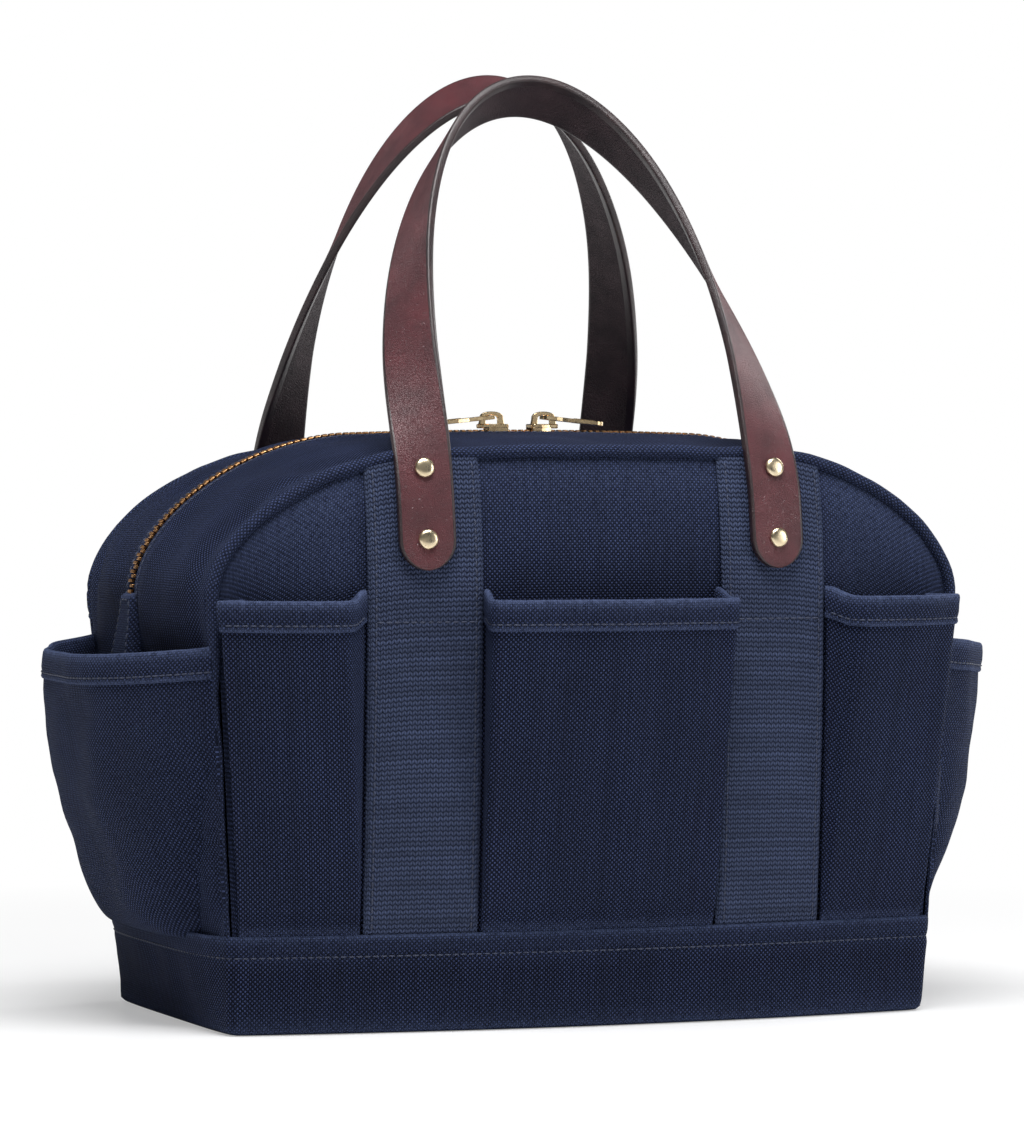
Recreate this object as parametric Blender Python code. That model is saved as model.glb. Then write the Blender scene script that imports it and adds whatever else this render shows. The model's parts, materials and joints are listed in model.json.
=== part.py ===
"""Canvas garden tool bag: arched two-way zipped body, eight outside pockets and two leather handles.

Metres, +Z up, the front faces -Y, and the origin is on the floor below the bag's middle.
"""

import math

import bmesh
import bpy
from mathutils import Vector

MM = 0.001

# Overall body, at the outer face of the canvas. The depths are measured at the four upright corner seams.
BASE_WIDTH = 322 * MM
SHOULDER_WIDTH = 345 * MM
BASE_DEPTH = 166 * MM
SHOULDER_DEPTH = 182 * MM
TOP_DEPTH = 166 * MM
SHOULDER_HEIGHT = 190 * MM
SHOULDER_RISE = 55 * MM
SHOULDER_RUN = 90 * MM
SHOULDER_POWER = 1.75
CROWN = 6 * MM
BASE_BULGE = 15 * MM
TOP_BULGE = 18 * MM
BASE_SWELL = 1.5 * MM
TOP_SWELL = 9 * MM
SWELL_POWER = 4
SWELL_HEIGHT = 110 * MM

# Cloth, board and leather thicknesses.
PANEL_THICKNESS = 2.4 * MM
GUSSET_THICKNESS = 2.0 * MM
BAND_THICKNESS = 2.4 * MM
POCKET_THICKNESS = 1.8 * MM
WEBBING_THICKNESS = 1.8 * MM
LEATHER_THICKNESS = 3.8 * MM
BOARD_THICKNESS = 2.4 * MM
GAP = 0.3 * MM
SKIN_GAP = 0.7 * MM

# Base band and pockets.
BAND_HEIGHT = 43 * MM
POCKET_TOP = 188 * MM
POCKET_FOOT_STAND = 1.0 * MM
POCKET_STAND = 16 * MM
POCKET_OVERHANG = 1.5 * MM
CORNER_POCKET_STAND = 6 * MM
SIDE_POCKET_STAND = 15 * MM
SIDE_POCKET_PLEAT = 11 * MM
STRAP_SEAM_GAP = 1.2 * MM
CORNER_SEAM_INSET = 1.0 * MM
POCKET_BOW = 5 * MM
END_POCKET_TOP = 168 * MM
END_POCKET_DIP = 5 * MM
END_POCKET_STAND = 33 * MM
END_POCKET_FOOT_STAND = 3 * MM
END_POCKET_BREADTH = 2.6
END_POCKET_ROUNDNESS = 0.9
END_POCKET_FILL = 0.2
END_POCKET_SEAM_INSET = 0.5 * MM

# Webbing, handles and rivets.
WEBBING_WIDTH = 50.8 * MM
WEBBING_SPACING = 162 * MM
WEBBING_ROWS = 18
HANDLE_WIDTH = 25.4 * MM
TAB_TIP_HEIGHT = 200 * MM
HINGE_HEIGHT = 251 * MM
HANDLE_RISES = {"front": 185 * MM, "back": 181 * MM}
HANDLE_LEANS = {"front": math.radians(30.5), "back": math.radians(24.5)}
HANDLE_TWISTS = {"front": math.radians(98), "back": math.radians(93)}
TWIST_POWERS = {"front": 0.7, "back": 0.6}
TAB_LIFT = SKIN_GAP + WEBBING_THICKNESS + GAP
RIVET_HEIGHTS = {"lower": 213 * MM, "upper": 243 * MM}
RIVET_HEAD_RADIUS = 4.3 * MM
RIVET_HEAD_HEIGHT = 2.2 * MM
RIVET_POST_RADIUS = 1.8 * MM
RIVET_BURR_RADIUS = 4.0 * MM
RIVET_BURR_HEIGHT = 1.4 * MM
RIVET_CLEARANCE = 0.3 * MM
RIVET_BURR_GAP = 0.9 * MM
RIVET_DRILL_REACH = 12 * MM

# Mouth, flaps and zip.
ZIP_END_HEIGHT = 180 * MM
ZIP_TAPE_HALF = 7 * MM
ZIP_ROW_GAP = 0.7 * MM
ZIP_TEETH_HALF = 2.7 * MM
ZIP_TAPE_DEPTH = 1.0 * MM
ZIP_TAPE_THICKNESS = 0.8 * MM
ZIP_TEETH_THICKNESS = 1.6 * MM
ZIP_TEETH_TOP = ZIP_TEETH_THICKNESS + GAP - ZIP_TAPE_DEPTH
FLAP_HALF_LENGTH = 100 * MM
FLAP_CLEARANCE = 3 * MM
FLAP_HINGE_Y = 86 * MM
SLIDER_REST = 12.5 * MM
SLIDER_LENGTH = 14 * MM
SLIDER_WIDTH = 10 * MM
SLIDER_HEIGHT = 4.0 * MM
SLIDER_CLEARANCE = 0.4 * MM
BAIL_OPENING = 3.2 * MM
BAIL_WIRE = 2.0 * MM
BAIL_SPAN = 8 * MM
PULL_LENGTH = 29 * MM
PULL_WIDTH = 7.5 * MM
PULL_THICKNESS = 1.6 * MM
PULL_BAR = 1.2 * MM
PULL_EYE_LENGTH = 6.6 * MM
PULL_EYE_ROOM = 0.6 * MM
PULL_NECK = 3 * MM
PULL_DROOP = math.radians(6)
END_TAB_TOP_WIDTH = 12 * MM
END_TAB_FOOT_WIDTH = 20 * MM
END_TAB_HEIGHT = 34 * MM
END_TAB_LAP = 8 * MM
END_TAB_THICKNESS = 3 * MM

ROUND_SIDES = 12
SIDES = {"left": -1, "right": 1}
FACES = {"front": -1, "back": 1}


def clear_scene():
    for obj in list(bpy.data.objects):
        bpy.data.objects.remove(obj)


def material(name, colour, roughness, metallic=0.0):
    made = bpy.data.materials.new(name)
    made.use_nodes = True
    shader = made.node_tree.nodes["Principled BSDF"]
    shader.inputs["Base Color"].default_value = (*colour, 1)
    shader.inputs["Roughness"].default_value = roughness
    shader.inputs["Metallic"].default_value = metallic
    return made


def place(name, bm, finish, parent=None):
    """Makes the named object from a world-space bmesh, with its origin on the parent empty if it has one."""
    bmesh.ops.recalc_face_normals(bm, faces=bm.faces)
    mesh = bpy.data.meshes.new(name)
    if parent is not None:
        bmesh.ops.translate(bm, verts=bm.verts, vec=-parent.location)
    bm.to_mesh(mesh)
    bm.free()
    mesh.materials.append(finish)
    obj = bpy.data.objects.new(name, mesh)
    obj.parent = parent
    bpy.context.scene.collection.objects.link(obj)
    return obj


def pivot(name, location):
    empty = bpy.data.objects.new(name, None)
    empty.location = location
    bpy.context.scene.collection.objects.link(empty)
    return empty


def slab(name, near, far, finish, parent=None, skip=()):
    """Closed solid between two grids of points of the same size. Cells (row, column) in skip stay open."""
    bm = bmesh.new()
    rows, columns = len(near), len(near[0])
    layers = []
    for grid in (near, far):
        layers.append([[bm.verts.new(point) for point in row] for row in grid])
    cells = {(r, c) for r in range(rows - 1) for c in range(columns - 1)} - set(skip)
    for r, c in sorted(cells):
        corners = ((r, c), (r, c + 1), (r + 1, c + 1), (r + 1, c))
        bm.faces.new([layers[0][i][j] for i, j in corners])
        bm.faces.new([layers[1][i][j] for i, j in reversed(corners)])
        neighbours = ((r - 1, c), (r, c + 1), (r + 1, c), (r, c - 1))
        for side, beside in enumerate(neighbours):
            if beside in cells:
                continue
            (i, j), (k, m) = corners[side], corners[(side + 1) % 4]
            rim = (layers[0][k][m], layers[0][i][j], layers[1][i][j], layers[1][k][m])
            bm.faces.new(rim)
    unused = [vert for vert in bm.verts if not vert.link_faces]
    bmesh.ops.delete(bm, geom=unused, context="VERTS")
    return place(name, bm, finish, parent)


def as_cutter(obj):
    """A helper that only shapes other objects, so it isn't part of the bag."""
    obj.hide_render = True
    obj.display_type = "WIRE"
    return obj


def cut(obj, cutter):
    hole = obj.modifiers.new("hole_" + cutter.name, "BOOLEAN")
    hole.operation = "DIFFERENCE"
    hole.solver = "EXACT"
    hole.object = cutter


def turned(profile, centre, axis, sides=ROUND_SIDES):
    """bmesh of a profile of (radius, height) points, turned about a line through centre."""
    bm = bmesh.new()
    turn = Vector((0, 0, 1)).rotation_difference(axis)
    rings = []
    for radius, height in profile:
        if radius == 0:
            rings.append([bm.verts.new(centre + turn @ Vector((0, 0, height)))])
            continue
        ring = []
        for step in range(sides):
            angle = math.tau * step / sides
            spot = Vector((radius * math.cos(angle), radius * math.sin(angle), height))
            ring.append(bm.verts.new(centre + turn @ spot))
        rings.append(ring)
    for low, high in zip(rings, rings[1:]):
        for step in range(sides):
            after = (step + 1) % sides
            if len(low) == 1:
                bm.faces.new((low[0], high[step], high[after]))
            elif len(high) == 1:
                bm.faces.new((low[step], low[after], high[0]))
            else:
                bm.faces.new((low[step], low[after], high[after], high[step]))
    return bm


def spread(low, high, count):
    """count + 1 evenly spaced values from low to high."""
    return [low + (high - low) * step / count for step in range(count + 1)]


def blend(low, high, share):
    return low + (high - low) * share


# ---- Body surface ----


def half_width(z):
    return blend(BASE_WIDTH, SHOULDER_WIDTH, min(z / SHOULDER_HEIGHT, 1)) / 2


def corner_depth(z):
    """Half of the body's depth at its upright corner seams."""
    if z <= SHOULDER_HEIGHT:
        share = math.sin(math.pi / 2 * z / SHOULDER_HEIGHT)
        return blend(BASE_DEPTH, SHOULDER_DEPTH, share) / 2
    share = (z - SHOULDER_HEIGHT) / (SHOULDER_RISE + CROWN)
    return blend(SHOULDER_DEPTH, TOP_DEPTH, share * share) / 2


def bulge(z):
    return blend(BASE_BULGE, TOP_BULGE, min(z / SHOULDER_HEIGHT, 1))


def panel_depth(x, z):
    """Distance of the front or back panel's outer face from the bag's middle plane."""
    return corner_depth(z) + bulge(z) * (1 - (x / half_width(z)) ** 2)


def panel_point(x, z, lift=0.0, face=-1):
    """Point lifted off the panel's outer face along its normal. face is -1 in front and 1 at the back."""
    step = MM
    slope_x = (panel_depth(x + step, z) - panel_depth(x - step, z)) / (2 * step)
    slope_z = (panel_depth(x, z + step) - panel_depth(x, z - step)) / (2 * step)
    outward = Vector((-slope_x, 1, -slope_z)).normalized()
    spot = Vector((x, panel_depth(x, z), z)) + outward * lift
    return Vector((spot.x, face * spot.y, spot.z))


def panel_normal(x, z, face=-1):
    return (panel_point(x, z, MM, face) - panel_point(x, z, 0, face)).normalized()


def foot_height(lift):
    """Height on the panel of the lowest point whose outer face, at this lift, still clears the base band."""
    level = BAND_HEIGHT + GAP
    dip = level - panel_point(0, level, lift).z
    return level + max(dip, 0)


def arch_height(x):
    """Height of the panel's top seam above x."""
    straight = SHOULDER_WIDTH / 2 - SHOULDER_RUN
    beyond = max(abs(x) - straight, 0) / SHOULDER_RUN
    rise = max(1 - beyond**SHOULDER_POWER, 0) ** (1 / SHOULDER_POWER)
    crown = CROWN * (1 - (2 * x / SHOULDER_WIDTH) ** 2)
    return SHOULDER_HEIGHT + SHOULDER_RISE * rise + crown


def shoulder_x(angle):
    """Distance of the arch from the middle, as its corner turns from 0 at the side to a right angle above."""
    straight = SHOULDER_WIDTH / 2 - SHOULDER_RUN
    return straight + SHOULDER_RUN * math.cos(angle) ** (2 / SHOULDER_POWER)


def half_arch(start, corner_steps=8, top_xs=()):
    """(x, z) points of the arch's right half, from height start round to the first of top_xs."""
    side = [(half_width(z), z) for z in spread(start, SHOULDER_HEIGHT, 2)]
    corner = []
    for step in range(1, corner_steps + 1):
        x = shoulder_x(math.pi / 2 * step / corner_steps)
        if not top_xs or x > top_xs[0] + MM:
            corner.append((x, arch_height(x)))
    return side + corner + [(x, arch_height(x)) for x in top_xs]


def arch_normal(x, z):
    """Outward direction of the arch, in the plane of the panel."""
    if z <= SHOULDER_HEIGHT:
        return Vector((math.copysign(1, x), 0, 0))
    across = SHOULDER_WIDTH / 2 - abs(x)
    step = min(0.1 * MM, across / 4)
    drop = (arch_height(abs(x) - step) - arch_height(abs(x) + step)) / (2 * step)
    return Vector((math.copysign(drop, x), 0, 1)).normalized()


def gusset_edge(x, z):
    """Half of the gusset's width, where it meets the inside of the panels."""
    return panel_depth(x, z) - PANEL_THICKNESS - GAP


def swell(full, share):
    """How far the end's cloth swells out, at a share of the way from its middle to its seam."""
    return full * (1 - min(share, 1) ** SWELL_POWER)


def gusset_point(x, z, y, lift=0.0):
    """Point on the gusset that runs over the arch, at y across the bag."""
    full = TOP_SWELL * min(z / SWELL_HEIGHT, 1)
    out = swell(full, abs(y) / gusset_edge(x, z)) + lift
    return Vector((x, y, z)) + arch_normal(x, z) * out


def gusset_slab(name, path, ys_of, thickness, finish, lift=0.0, parent=None, skip=()):
    """Solid of one thickness under the gusset's surface, along the (x, z) path and across at ys_of(x, z)."""
    grids = []
    for depth in (lift, lift - thickness):
        grids.append([[gusset_point(x, z, y, depth) for y in ys_of(x, z)] for x, z in path])
    return slab(name, grids[0], grids[1], finish, parent, skip)


# ---- Shell ----


def make_panel(face_name, finish):
    face = FACES[face_name]
    start = BOARD_THICKNESS + GAP
    columns = [math.sin(math.pi / 2 * share) for share in spread(-0.985, 0.985, 20)]
    grids = []
    for lift in (0, -PANEL_THICKNESS):
        grid = []
        for share in spread(0, 1, 14):
            row = []
            for column in columns:
                top = arch_height(column * SHOULDER_WIDTH / 2)
                z = blend(start, top, share)
                row.append(panel_point(column * half_width(z), z, lift, face))
            grid.append(row)
        grids.append(grid)
    return slab(face_name + "_panel", grids[0], grids[1], finish)


def make_end_gusset(side_name, finish):
    side = SIDES[side_name]
    start = BOARD_THICKNESS + GAP
    heights = spread(start, ZIP_END_HEIGHT - GAP, 5)
    path = [(side * half_width(z), z) for z in heights]

    def across(x, z):
        return spread(-gusset_edge(x, z), gusset_edge(x, z), 8)

    return gusset_slab(side_name + "_end_gusset", path, across, GUSSET_THICKNESS, finish)


def arch_path():
    """(x, z) points of the whole arch over the mouth, left to right, with the flap's two ends on it."""
    flap_end = FLAP_HALF_LENGTH + FLAP_CLEARANCE
    half = half_arch(ZIP_END_HEIGHT, 8, spread(flap_end, 0, 5)[:-1])
    left = [(-x, z) for x, z in half]
    return left + [(0, arch_height(0))] + half[::-1]


def make_top_gusset(face_name, finish):
    """Border of the mouth: it runs up both ends and over the top, and is open where the flap lies."""
    face = FACES[face_name]
    path = arch_path()
    hinge_edge = FLAP_HINGE_Y + FLAP_CLEARANCE
    inner = ZIP_TAPE_HALF + GAP

    def across(x, z):
        outer = gusset_edge(x, z)
        middle = (min(hinge_edge, outer - MM) + inner) / 2
        return [face * y for y in (outer, min(hinge_edge, outer - MM), middle, inner)]

    flap_end = FLAP_HALF_LENGTH + FLAP_CLEARANCE
    inside = [i for i in range(len(path) - 1) if abs(path[i][0] + path[i + 1][0]) / 2 < flap_end]
    skip = [(i, column) for i in inside for column in (1, 2)]
    name = face_name + "_top_gusset"
    return gusset_slab(name, path, across, GUSSET_THICKNESS, finish, skip=skip)


def flap_path():
    return [(x, arch_height(x)) for x in spread(-FLAP_HALF_LENGTH, FLAP_HALF_LENGTH, 10)]


def flap_hinge_height():
    """Midway between the undersides of the flap's fold edge at its middle and at its ends."""
    at_middle = gusset_point(0, arch_height(0), FLAP_HINGE_Y, -GUSSET_THICKNESS).z
    end = FLAP_HALF_LENGTH
    at_end = gusset_point(end, arch_height(end), FLAP_HINGE_Y, -GUSSET_THICKNESS).z
    return (at_middle + at_end) / 2


def make_flap(face_name, finish, hinge):
    """Half of the mouth's cover, from its fold near the panel's seam to the edge of the zip."""
    face = FACES[face_name]

    def across(_x, _z):
        ys = spread(FLAP_HINGE_Y - FLAP_CLEARANCE, ZIP_TAPE_HALF + GAP, 3)
        return [face * y for y in ys]

    name = face_name + "_flap"
    return gusset_slab(name, flap_path(), across, GUSSET_THICKNESS, finish, parent=hinge)


def plan_outline(z, offset):
    """Closed loop of the body's plan at height z, grown outward by offset. Corners are round outside only."""
    width, depth = half_width(z), corner_depth(z)
    quarter = [panel_point(width * share, z, offset, 1) for share in spread(0, 5 / 6, 5)]
    if offset > 0:
        start = panel_normal(width, z, 1)
        for turn in (0, 0.33, 0.67, 1):
            direction = start.lerp(Vector((1, 0, 0)), turn).normalized()
            quarter.append(Vector((width, depth, z)) + direction * offset)
    else:
        quarter.append(Vector((width + offset, depth + offset, z)))
    full = blend(BASE_SWELL, TOP_SWELL, z / BAND_HEIGHT)
    for share in spread(3 / 4, 0, 3):
        quarter.append(Vector((width + swell(full, share) + offset, depth * share, z)))
    loop = [(p.x, p.y) for p in quarter]
    loop += [(p.x, -p.y) for p in reversed(quarter[:-1])]
    loop += [(-p.x, -p.y) for p in quarter[1:]]
    loop += [(-p.x, p.y) for p in reversed(quarter[1:-1])]
    return [Vector((x, y, z)) for x, y in loop]


def make_base_band(finish):
    """Outer band of doubled canvas that runs round the foot of the bag."""
    bm = bmesh.new()
    heights = spread(0, BAND_HEIGHT, 3)
    rims = [(z, GAP + BAND_THICKNESS) for z in heights] + [(z, GAP) for z in reversed(heights)]
    loops = []
    for z, offset in rims:
        loops.append([bm.verts.new(point) for point in plan_outline(z, offset)])
    count = len(loops[0])
    for here, there in zip(loops, loops[1:] + loops[:1]):
        for step in range(count):
            after = (step + 1) % count
            bm.faces.new((here[step], here[after], there[after], there[step]))
    return place("base_band", bm, finish)


def flat_plate(name, low, thickness, inset, finish):
    """Flat plate in the bag's plan, inset from the body's outline."""
    bm = bmesh.new()
    loop = plan_outline(low, -inset)
    bottom = bm.faces.new([bm.verts.new(point) for point in loop])
    made = bmesh.ops.extrude_face_region(bm, geom=[bottom])
    lifted = [item for item in made["geom"] if isinstance(item, bmesh.types.BMVert)]
    bmesh.ops.translate(bm, verts=lifted, vec=(0, 0, thickness))
    return place(name, bm, finish)


# ---- Pockets ----


def make_face_pocket(name, face_name, foot_low, foot_high, stands, overhangs, finish):
    """Bellows pocket on the front or back panel, between two foot lines. stands and overhangs are for its two
    edges: how far the mouth's corner stands off the panel, and how far it reaches past the foot line."""
    face = FACES[face_name]
    foot_lift = SKIN_GAP + POCKET_FOOT_STAND + POCKET_THICKNESS
    heights = spread(foot_height(foot_lift), POCKET_TOP, 4)
    grids = []
    for shell in (POCKET_THICKNESS, 0):
        grid = []
        for z in heights:
            share = (z - BAND_HEIGHT) / (POCKET_TOP - BAND_HEIGHT)
            inset = POCKET_THICKNESS - shell
            stand = [blend(POCKET_FOOT_STAND, value, share) + shell for value in stands]
            reach = [value * share for value in overhangs]
            low, high = foot_low + inset, foot_high - inset
            row = [panel_point(low, z, SKIN_GAP, face)]
            for spot in spread(0, 1, 6):
                x = blend(low - reach[0], high + reach[1], spot)
                bow = POCKET_BOW * share * (1 - (2 * spot - 1) ** 2)
                lift = SKIN_GAP + blend(stand[0], stand[1], spot) + bow
                row.append(panel_point(x, z, lift, face))
            row.append(panel_point(high, z, SKIN_GAP, face))
            grid.append(row)
        grids.append(grid)
    return slab(name, grids[0], grids[1], finish)


def face_pocket_set(face_name, finish):
    inner_foot = (WEBBING_SPACING - WEBBING_WIDTH) / 2 - STRAP_SEAM_GAP
    outer_foot = (WEBBING_SPACING + WEBBING_WIDTH) / 2 + STRAP_SEAM_GAP
    corner_foot = BASE_WIDTH / 2 - CORNER_SEAM_INSET
    stands = (POCKET_STAND, POCKET_STAND)
    reach = (POCKET_OVERHANG, POCKET_OVERHANG)
    name = face_name + "_centre_pocket"
    make_face_pocket(name, face_name, -inner_foot, inner_foot, stands, reach, finish)
    stands = (CORNER_POCKET_STAND, SIDE_POCKET_STAND)
    reach = (SHOULDER_WIDTH / 2 - corner_foot, -SIDE_POCKET_PLEAT)
    name = face_name + "_left_pocket"
    make_face_pocket(name, face_name, -corner_foot, -outer_foot, stands, reach, finish)
    name = face_name + "_right_pocket"
    make_face_pocket(name, face_name, outer_foot, corner_foot, stands[::-1], reach[::-1], finish)


def end_pocket_bow(across):
    """Share of the end pocket's full stand at a place across the bag, from -1 in front to 1 behind."""
    return (1 - abs(across) ** END_POCKET_BREADTH) ** END_POCKET_ROUNDNESS


def end_pocket_stand(share):
    """How far the end pocket's middle stands out, at a share of the way from its foot to its mouth."""
    return blend(END_POCKET_FOOT_STAND, END_POCKET_STAND, share**END_POCKET_FILL)


def make_end_pocket(side_name, finish):
    """Wide gaping pocket on the end of the bag, sewn in at both upright corner seams."""
    side = SIDES[side_name]
    grids = []
    for shell in (POCKET_THICKNESS, 0):
        grid = []
        for step in spread(0, 1, 7):
            share = step * step
            row = []
            for column in spread(-1, 1, 12):
                across = math.sin(math.pi / 2 * column)
                bow = end_pocket_bow(across)
                top = END_POCKET_TOP - END_POCKET_DIP * bow
                z = blend(BAND_HEIGHT + GAP, top, share)
                edge = corner_depth(z) - END_POCKET_SEAM_INSET - (POCKET_THICKNESS - shell) / 2
                flat = gusset_point(side * half_width(z), z, edge * across)
                out = GAP + shell + end_pocket_stand(share) * bow
                row.append(flat + Vector((side * out, 0, 0)))
            grid.append(row)
        grids.append(grid)
    return slab(side_name + "_end_pocket", grids[0], grids[1], finish)


# ---- Webbing, handles and rivets ----


def strap_x(side_name):
    return SIDES[side_name] * WEBBING_SPACING / 2


def webbing_top(x):
    return arch_height(x) - GAP


def make_webbing(face_name, side_name, finish):
    centre = strap_x(side_name)
    grids = []
    for lift in (SKIN_GAP + WEBBING_THICKNESS, SKIN_GAP):
        grid = []
        for share in spread(0, 1, WEBBING_ROWS):
            row = []
            for x in spread(centre - WEBBING_WIDTH / 2, centre + WEBBING_WIDTH / 2, 2):
                z = blend(foot_height(SKIN_GAP + WEBBING_THICKNESS), webbing_top(x), share)
                row.append(panel_point(x, z, lift, FACES[face_name]))
            grid.append(row)
        grids.append(grid)
    name = face_name + "_" + side_name + "_webbing"
    return slab(name, grids[0], grids[1], finish)


def make_handle_tab(face_name, side_name, finish):
    """Round-tipped end of a handle, which lies flat on the webbing and takes two rivets."""
    centre = strap_x(side_name)
    radius = HANDLE_WIDTH / 2
    grids = []
    tip_steps = [radius * (1 - math.cos(math.pi / 2 * share)) for share in spread(0.12, 1, 5)]
    heights = [TAB_TIP_HEIGHT + step for step in tip_steps]
    heights += spread(heights[-1], HINGE_HEIGHT - GAP, 4)[1:]
    for lift in (TAB_LIFT + LEATHER_THICKNESS, TAB_LIFT):
        grid = []
        for z in heights:
            below = max(TAB_TIP_HEIGHT + radius - z, 0)
            half = math.sqrt(max(radius * radius - below * below, 0))
            row = []
            for x in spread(centre - half, centre + half, 2):
                row.append(panel_point(x, z, lift, FACES[face_name]))
            grid.append(row)
        grids.append(grid)
    name = face_name + "_" + side_name + "_handle_tab"
    return slab(name, grids[0], grids[1], finish)


def fold_point(face_name, x, lift):
    """Point over the bag's middle where a handle folds, lifted off the panel's face at x."""
    spot = panel_point(x, HINGE_HEIGHT, lift, FACES[face_name])
    return Vector((0, spot.y, spot.z))


def hinge_point(face_name):
    """A handle folds about the outer face of its tab's inner edge, which stands furthest out."""
    inner_edge = (WEBBING_SPACING - HANDLE_WIDTH) / 2
    return fold_point(face_name, inner_edge, TAB_LIFT + LEATHER_THICKNESS + GAP)


def make_handle(face_name, finish, hinge):
    """Leather loop: half an ellipse in a plane that leans over the mouth. It twists from flat on the panel to
    flat on top."""
    face, lean, climb = FACES[face_name], HANDLE_LEANS[face_name], HANDLE_RISES[face_name]
    upward = Vector((0, -face * math.sin(lean), math.cos(lean)))
    facing = Vector((0, face * math.cos(lean), math.sin(lean)))
    half_span = WEBBING_SPACING / 2
    foot = fold_point(face_name, half_span, TAB_LIFT + LEATHER_THICKNESS / 2)
    inner_dip = LEATHER_THICKNESS / 2 * math.sin(lean)
    start = math.asin((GAP + inner_dip) / math.cos(lean) / climb)
    grids = ([], [])
    for angle in spread(start, math.pi - start, 36):
        rise = math.sin(angle)
        sideways = Vector((math.cos(angle), 0, 0))
        centre = foot + sideways * half_span + upward * climb * rise
        along = Vector((-half_span * rise, 0, 0)) + upward * climb * math.cos(angle)
        along.normalize()
        outward = along.cross(facing)
        if outward.dot(sideways * half_span + upward * rise) < 0:
            outward = -outward
        twist = HANDLE_TWISTS[face_name] * rise ** TWIST_POWERS[face_name]
        normal = facing * math.cos(twist) + outward * math.sin(twist)
        across = along.cross(normal).normalized() * (HANDLE_WIDTH / 2)
        for grid, lift in zip(grids, (LEATHER_THICKNESS / 2, -LEATHER_THICKNESS / 2)):
            middle = centre + normal * lift
            grid.append([middle - across, middle, middle + across])
    return slab(face_name + "_handle", grids[0], grids[1], finish, hinge)


def rivet_cutter(label, centre, axis, finish):
    """Drill for a rivet's hole through everything that the rivet holds."""
    radius, reach = RIVET_POST_RADIUS + RIVET_CLEARANCE, RIVET_DRILL_REACH
    profile = [(0, -reach), (radius, -reach), (radius, reach), (0, reach)]
    return as_cutter(place("cutter_" + label, turned(profile, centre, axis), finish))


def make_rivet(face_name, side_name, level, finish):
    """Domed rivet through tab, webbing and panel, and the burr that holds it inside the bag."""
    x, z = strap_x(side_name), RIVET_HEIGHTS[level]
    face = FACES[face_name]
    axis = panel_normal(x, z, face)
    outside = panel_point(x, z, TAB_LIFT + LEATHER_THICKNESS + GAP, face)
    inside = -(PANEL_THICKNESS + TAB_LIFT + LEATHER_THICKNESS + GAP)
    head, post = RIVET_HEAD_RADIUS, RIVET_POST_RADIUS
    dome = [(head * math.cos(turn), RIVET_HEAD_HEIGHT * math.sin(turn)) for turn in (0.0, 0.5, 1.0)]
    tail = inside - RIVET_BURR_GAP - RIVET_BURR_HEIGHT
    profile = [(0, tail), (post, tail), (post, 0)] + dome + [(0, RIVET_HEAD_HEIGHT)]
    name = "_".join((face_name, side_name, level, "rivet"))
    place(name, turned(profile, outside, axis), finish)

    bore = post + RIVET_CLEARANCE
    burr = bmesh.new()
    turn = Vector((0, 0, 1)).rotation_difference(axis)
    top = inside - RIVET_BURR_GAP
    rings = []
    for radius, height in (
        (bore, top), (RIVET_BURR_RADIUS, top),
        (RIVET_BURR_RADIUS * 0.8, top - RIVET_BURR_HEIGHT), (bore, top - RIVET_BURR_HEIGHT),
    ):
        ring = []
        for step in range(ROUND_SIDES):
            angle = math.tau * step / ROUND_SIDES
            spot = Vector((radius * math.cos(angle), radius * math.sin(angle), height))
            ring.append(burr.verts.new(outside + turn @ spot))
        rings.append(ring)
    for here, there in zip(rings, rings[1:] + rings[:1]):
        for step in range(ROUND_SIDES):
            after = (step + 1) % ROUND_SIDES
            burr.faces.new((here[step], here[after], there[after], there[step]))
    place(name + "_burr", burr, finish)
    return rivet_cutter(name, panel_point(x, z, 0, face), axis, finish)


# ---- Zip ----


def make_zip_half(face_name, tape_finish, teeth_finish, hinge):
    """Tape and teeth of one side of the mouth, carried by that side's flap."""
    face = FACES[face_name]

    def tape_across(_x, _z):
        return [face * ZIP_TAPE_HALF, face * ZIP_ROW_GAP]

    def teeth_across(_x, _z):
        return [face * ZIP_TEETH_HALF, face * ZIP_ROW_GAP]

    gusset_slab(
        "zip_tape_" + face_name, flap_path(), tape_across, ZIP_TAPE_THICKNESS, tape_finish,
        -ZIP_TAPE_DEPTH, hinge,
    )
    gusset_slab(
        "zip_teeth_" + face_name, flap_path(), teeth_across, ZIP_TEETH_THICKNESS, teeth_finish,
        ZIP_TEETH_TOP, hinge,
    )


def make_zip_end(side_name, tape_finish, teeth_finish):
    """Closed stretch of the zip that runs over the shoulder and down to the end tab."""
    side = SIDES[side_name]
    flap_end = FLAP_HALF_LENGTH + FLAP_CLEARANCE
    path = [(side * x, z) for x, z in half_arch(ZIP_END_HEIGHT, 8, [flap_end])]

    def tape_across(_x, _z):
        return [-ZIP_TAPE_HALF, ZIP_TAPE_HALF]

    def teeth_across(_x, _z):
        return [-ZIP_TEETH_HALF, ZIP_TEETH_HALF]

    gusset_slab(
        side_name + "_zip_end_tape", path, tape_across, ZIP_TAPE_THICKNESS, tape_finish,
        -ZIP_TAPE_DEPTH,
    )
    gusset_slab(
        side_name + "_zip_end_teeth", path, teeth_across, ZIP_TEETH_THICKNESS, teeth_finish,
        ZIP_TEETH_TOP,
    )


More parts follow.
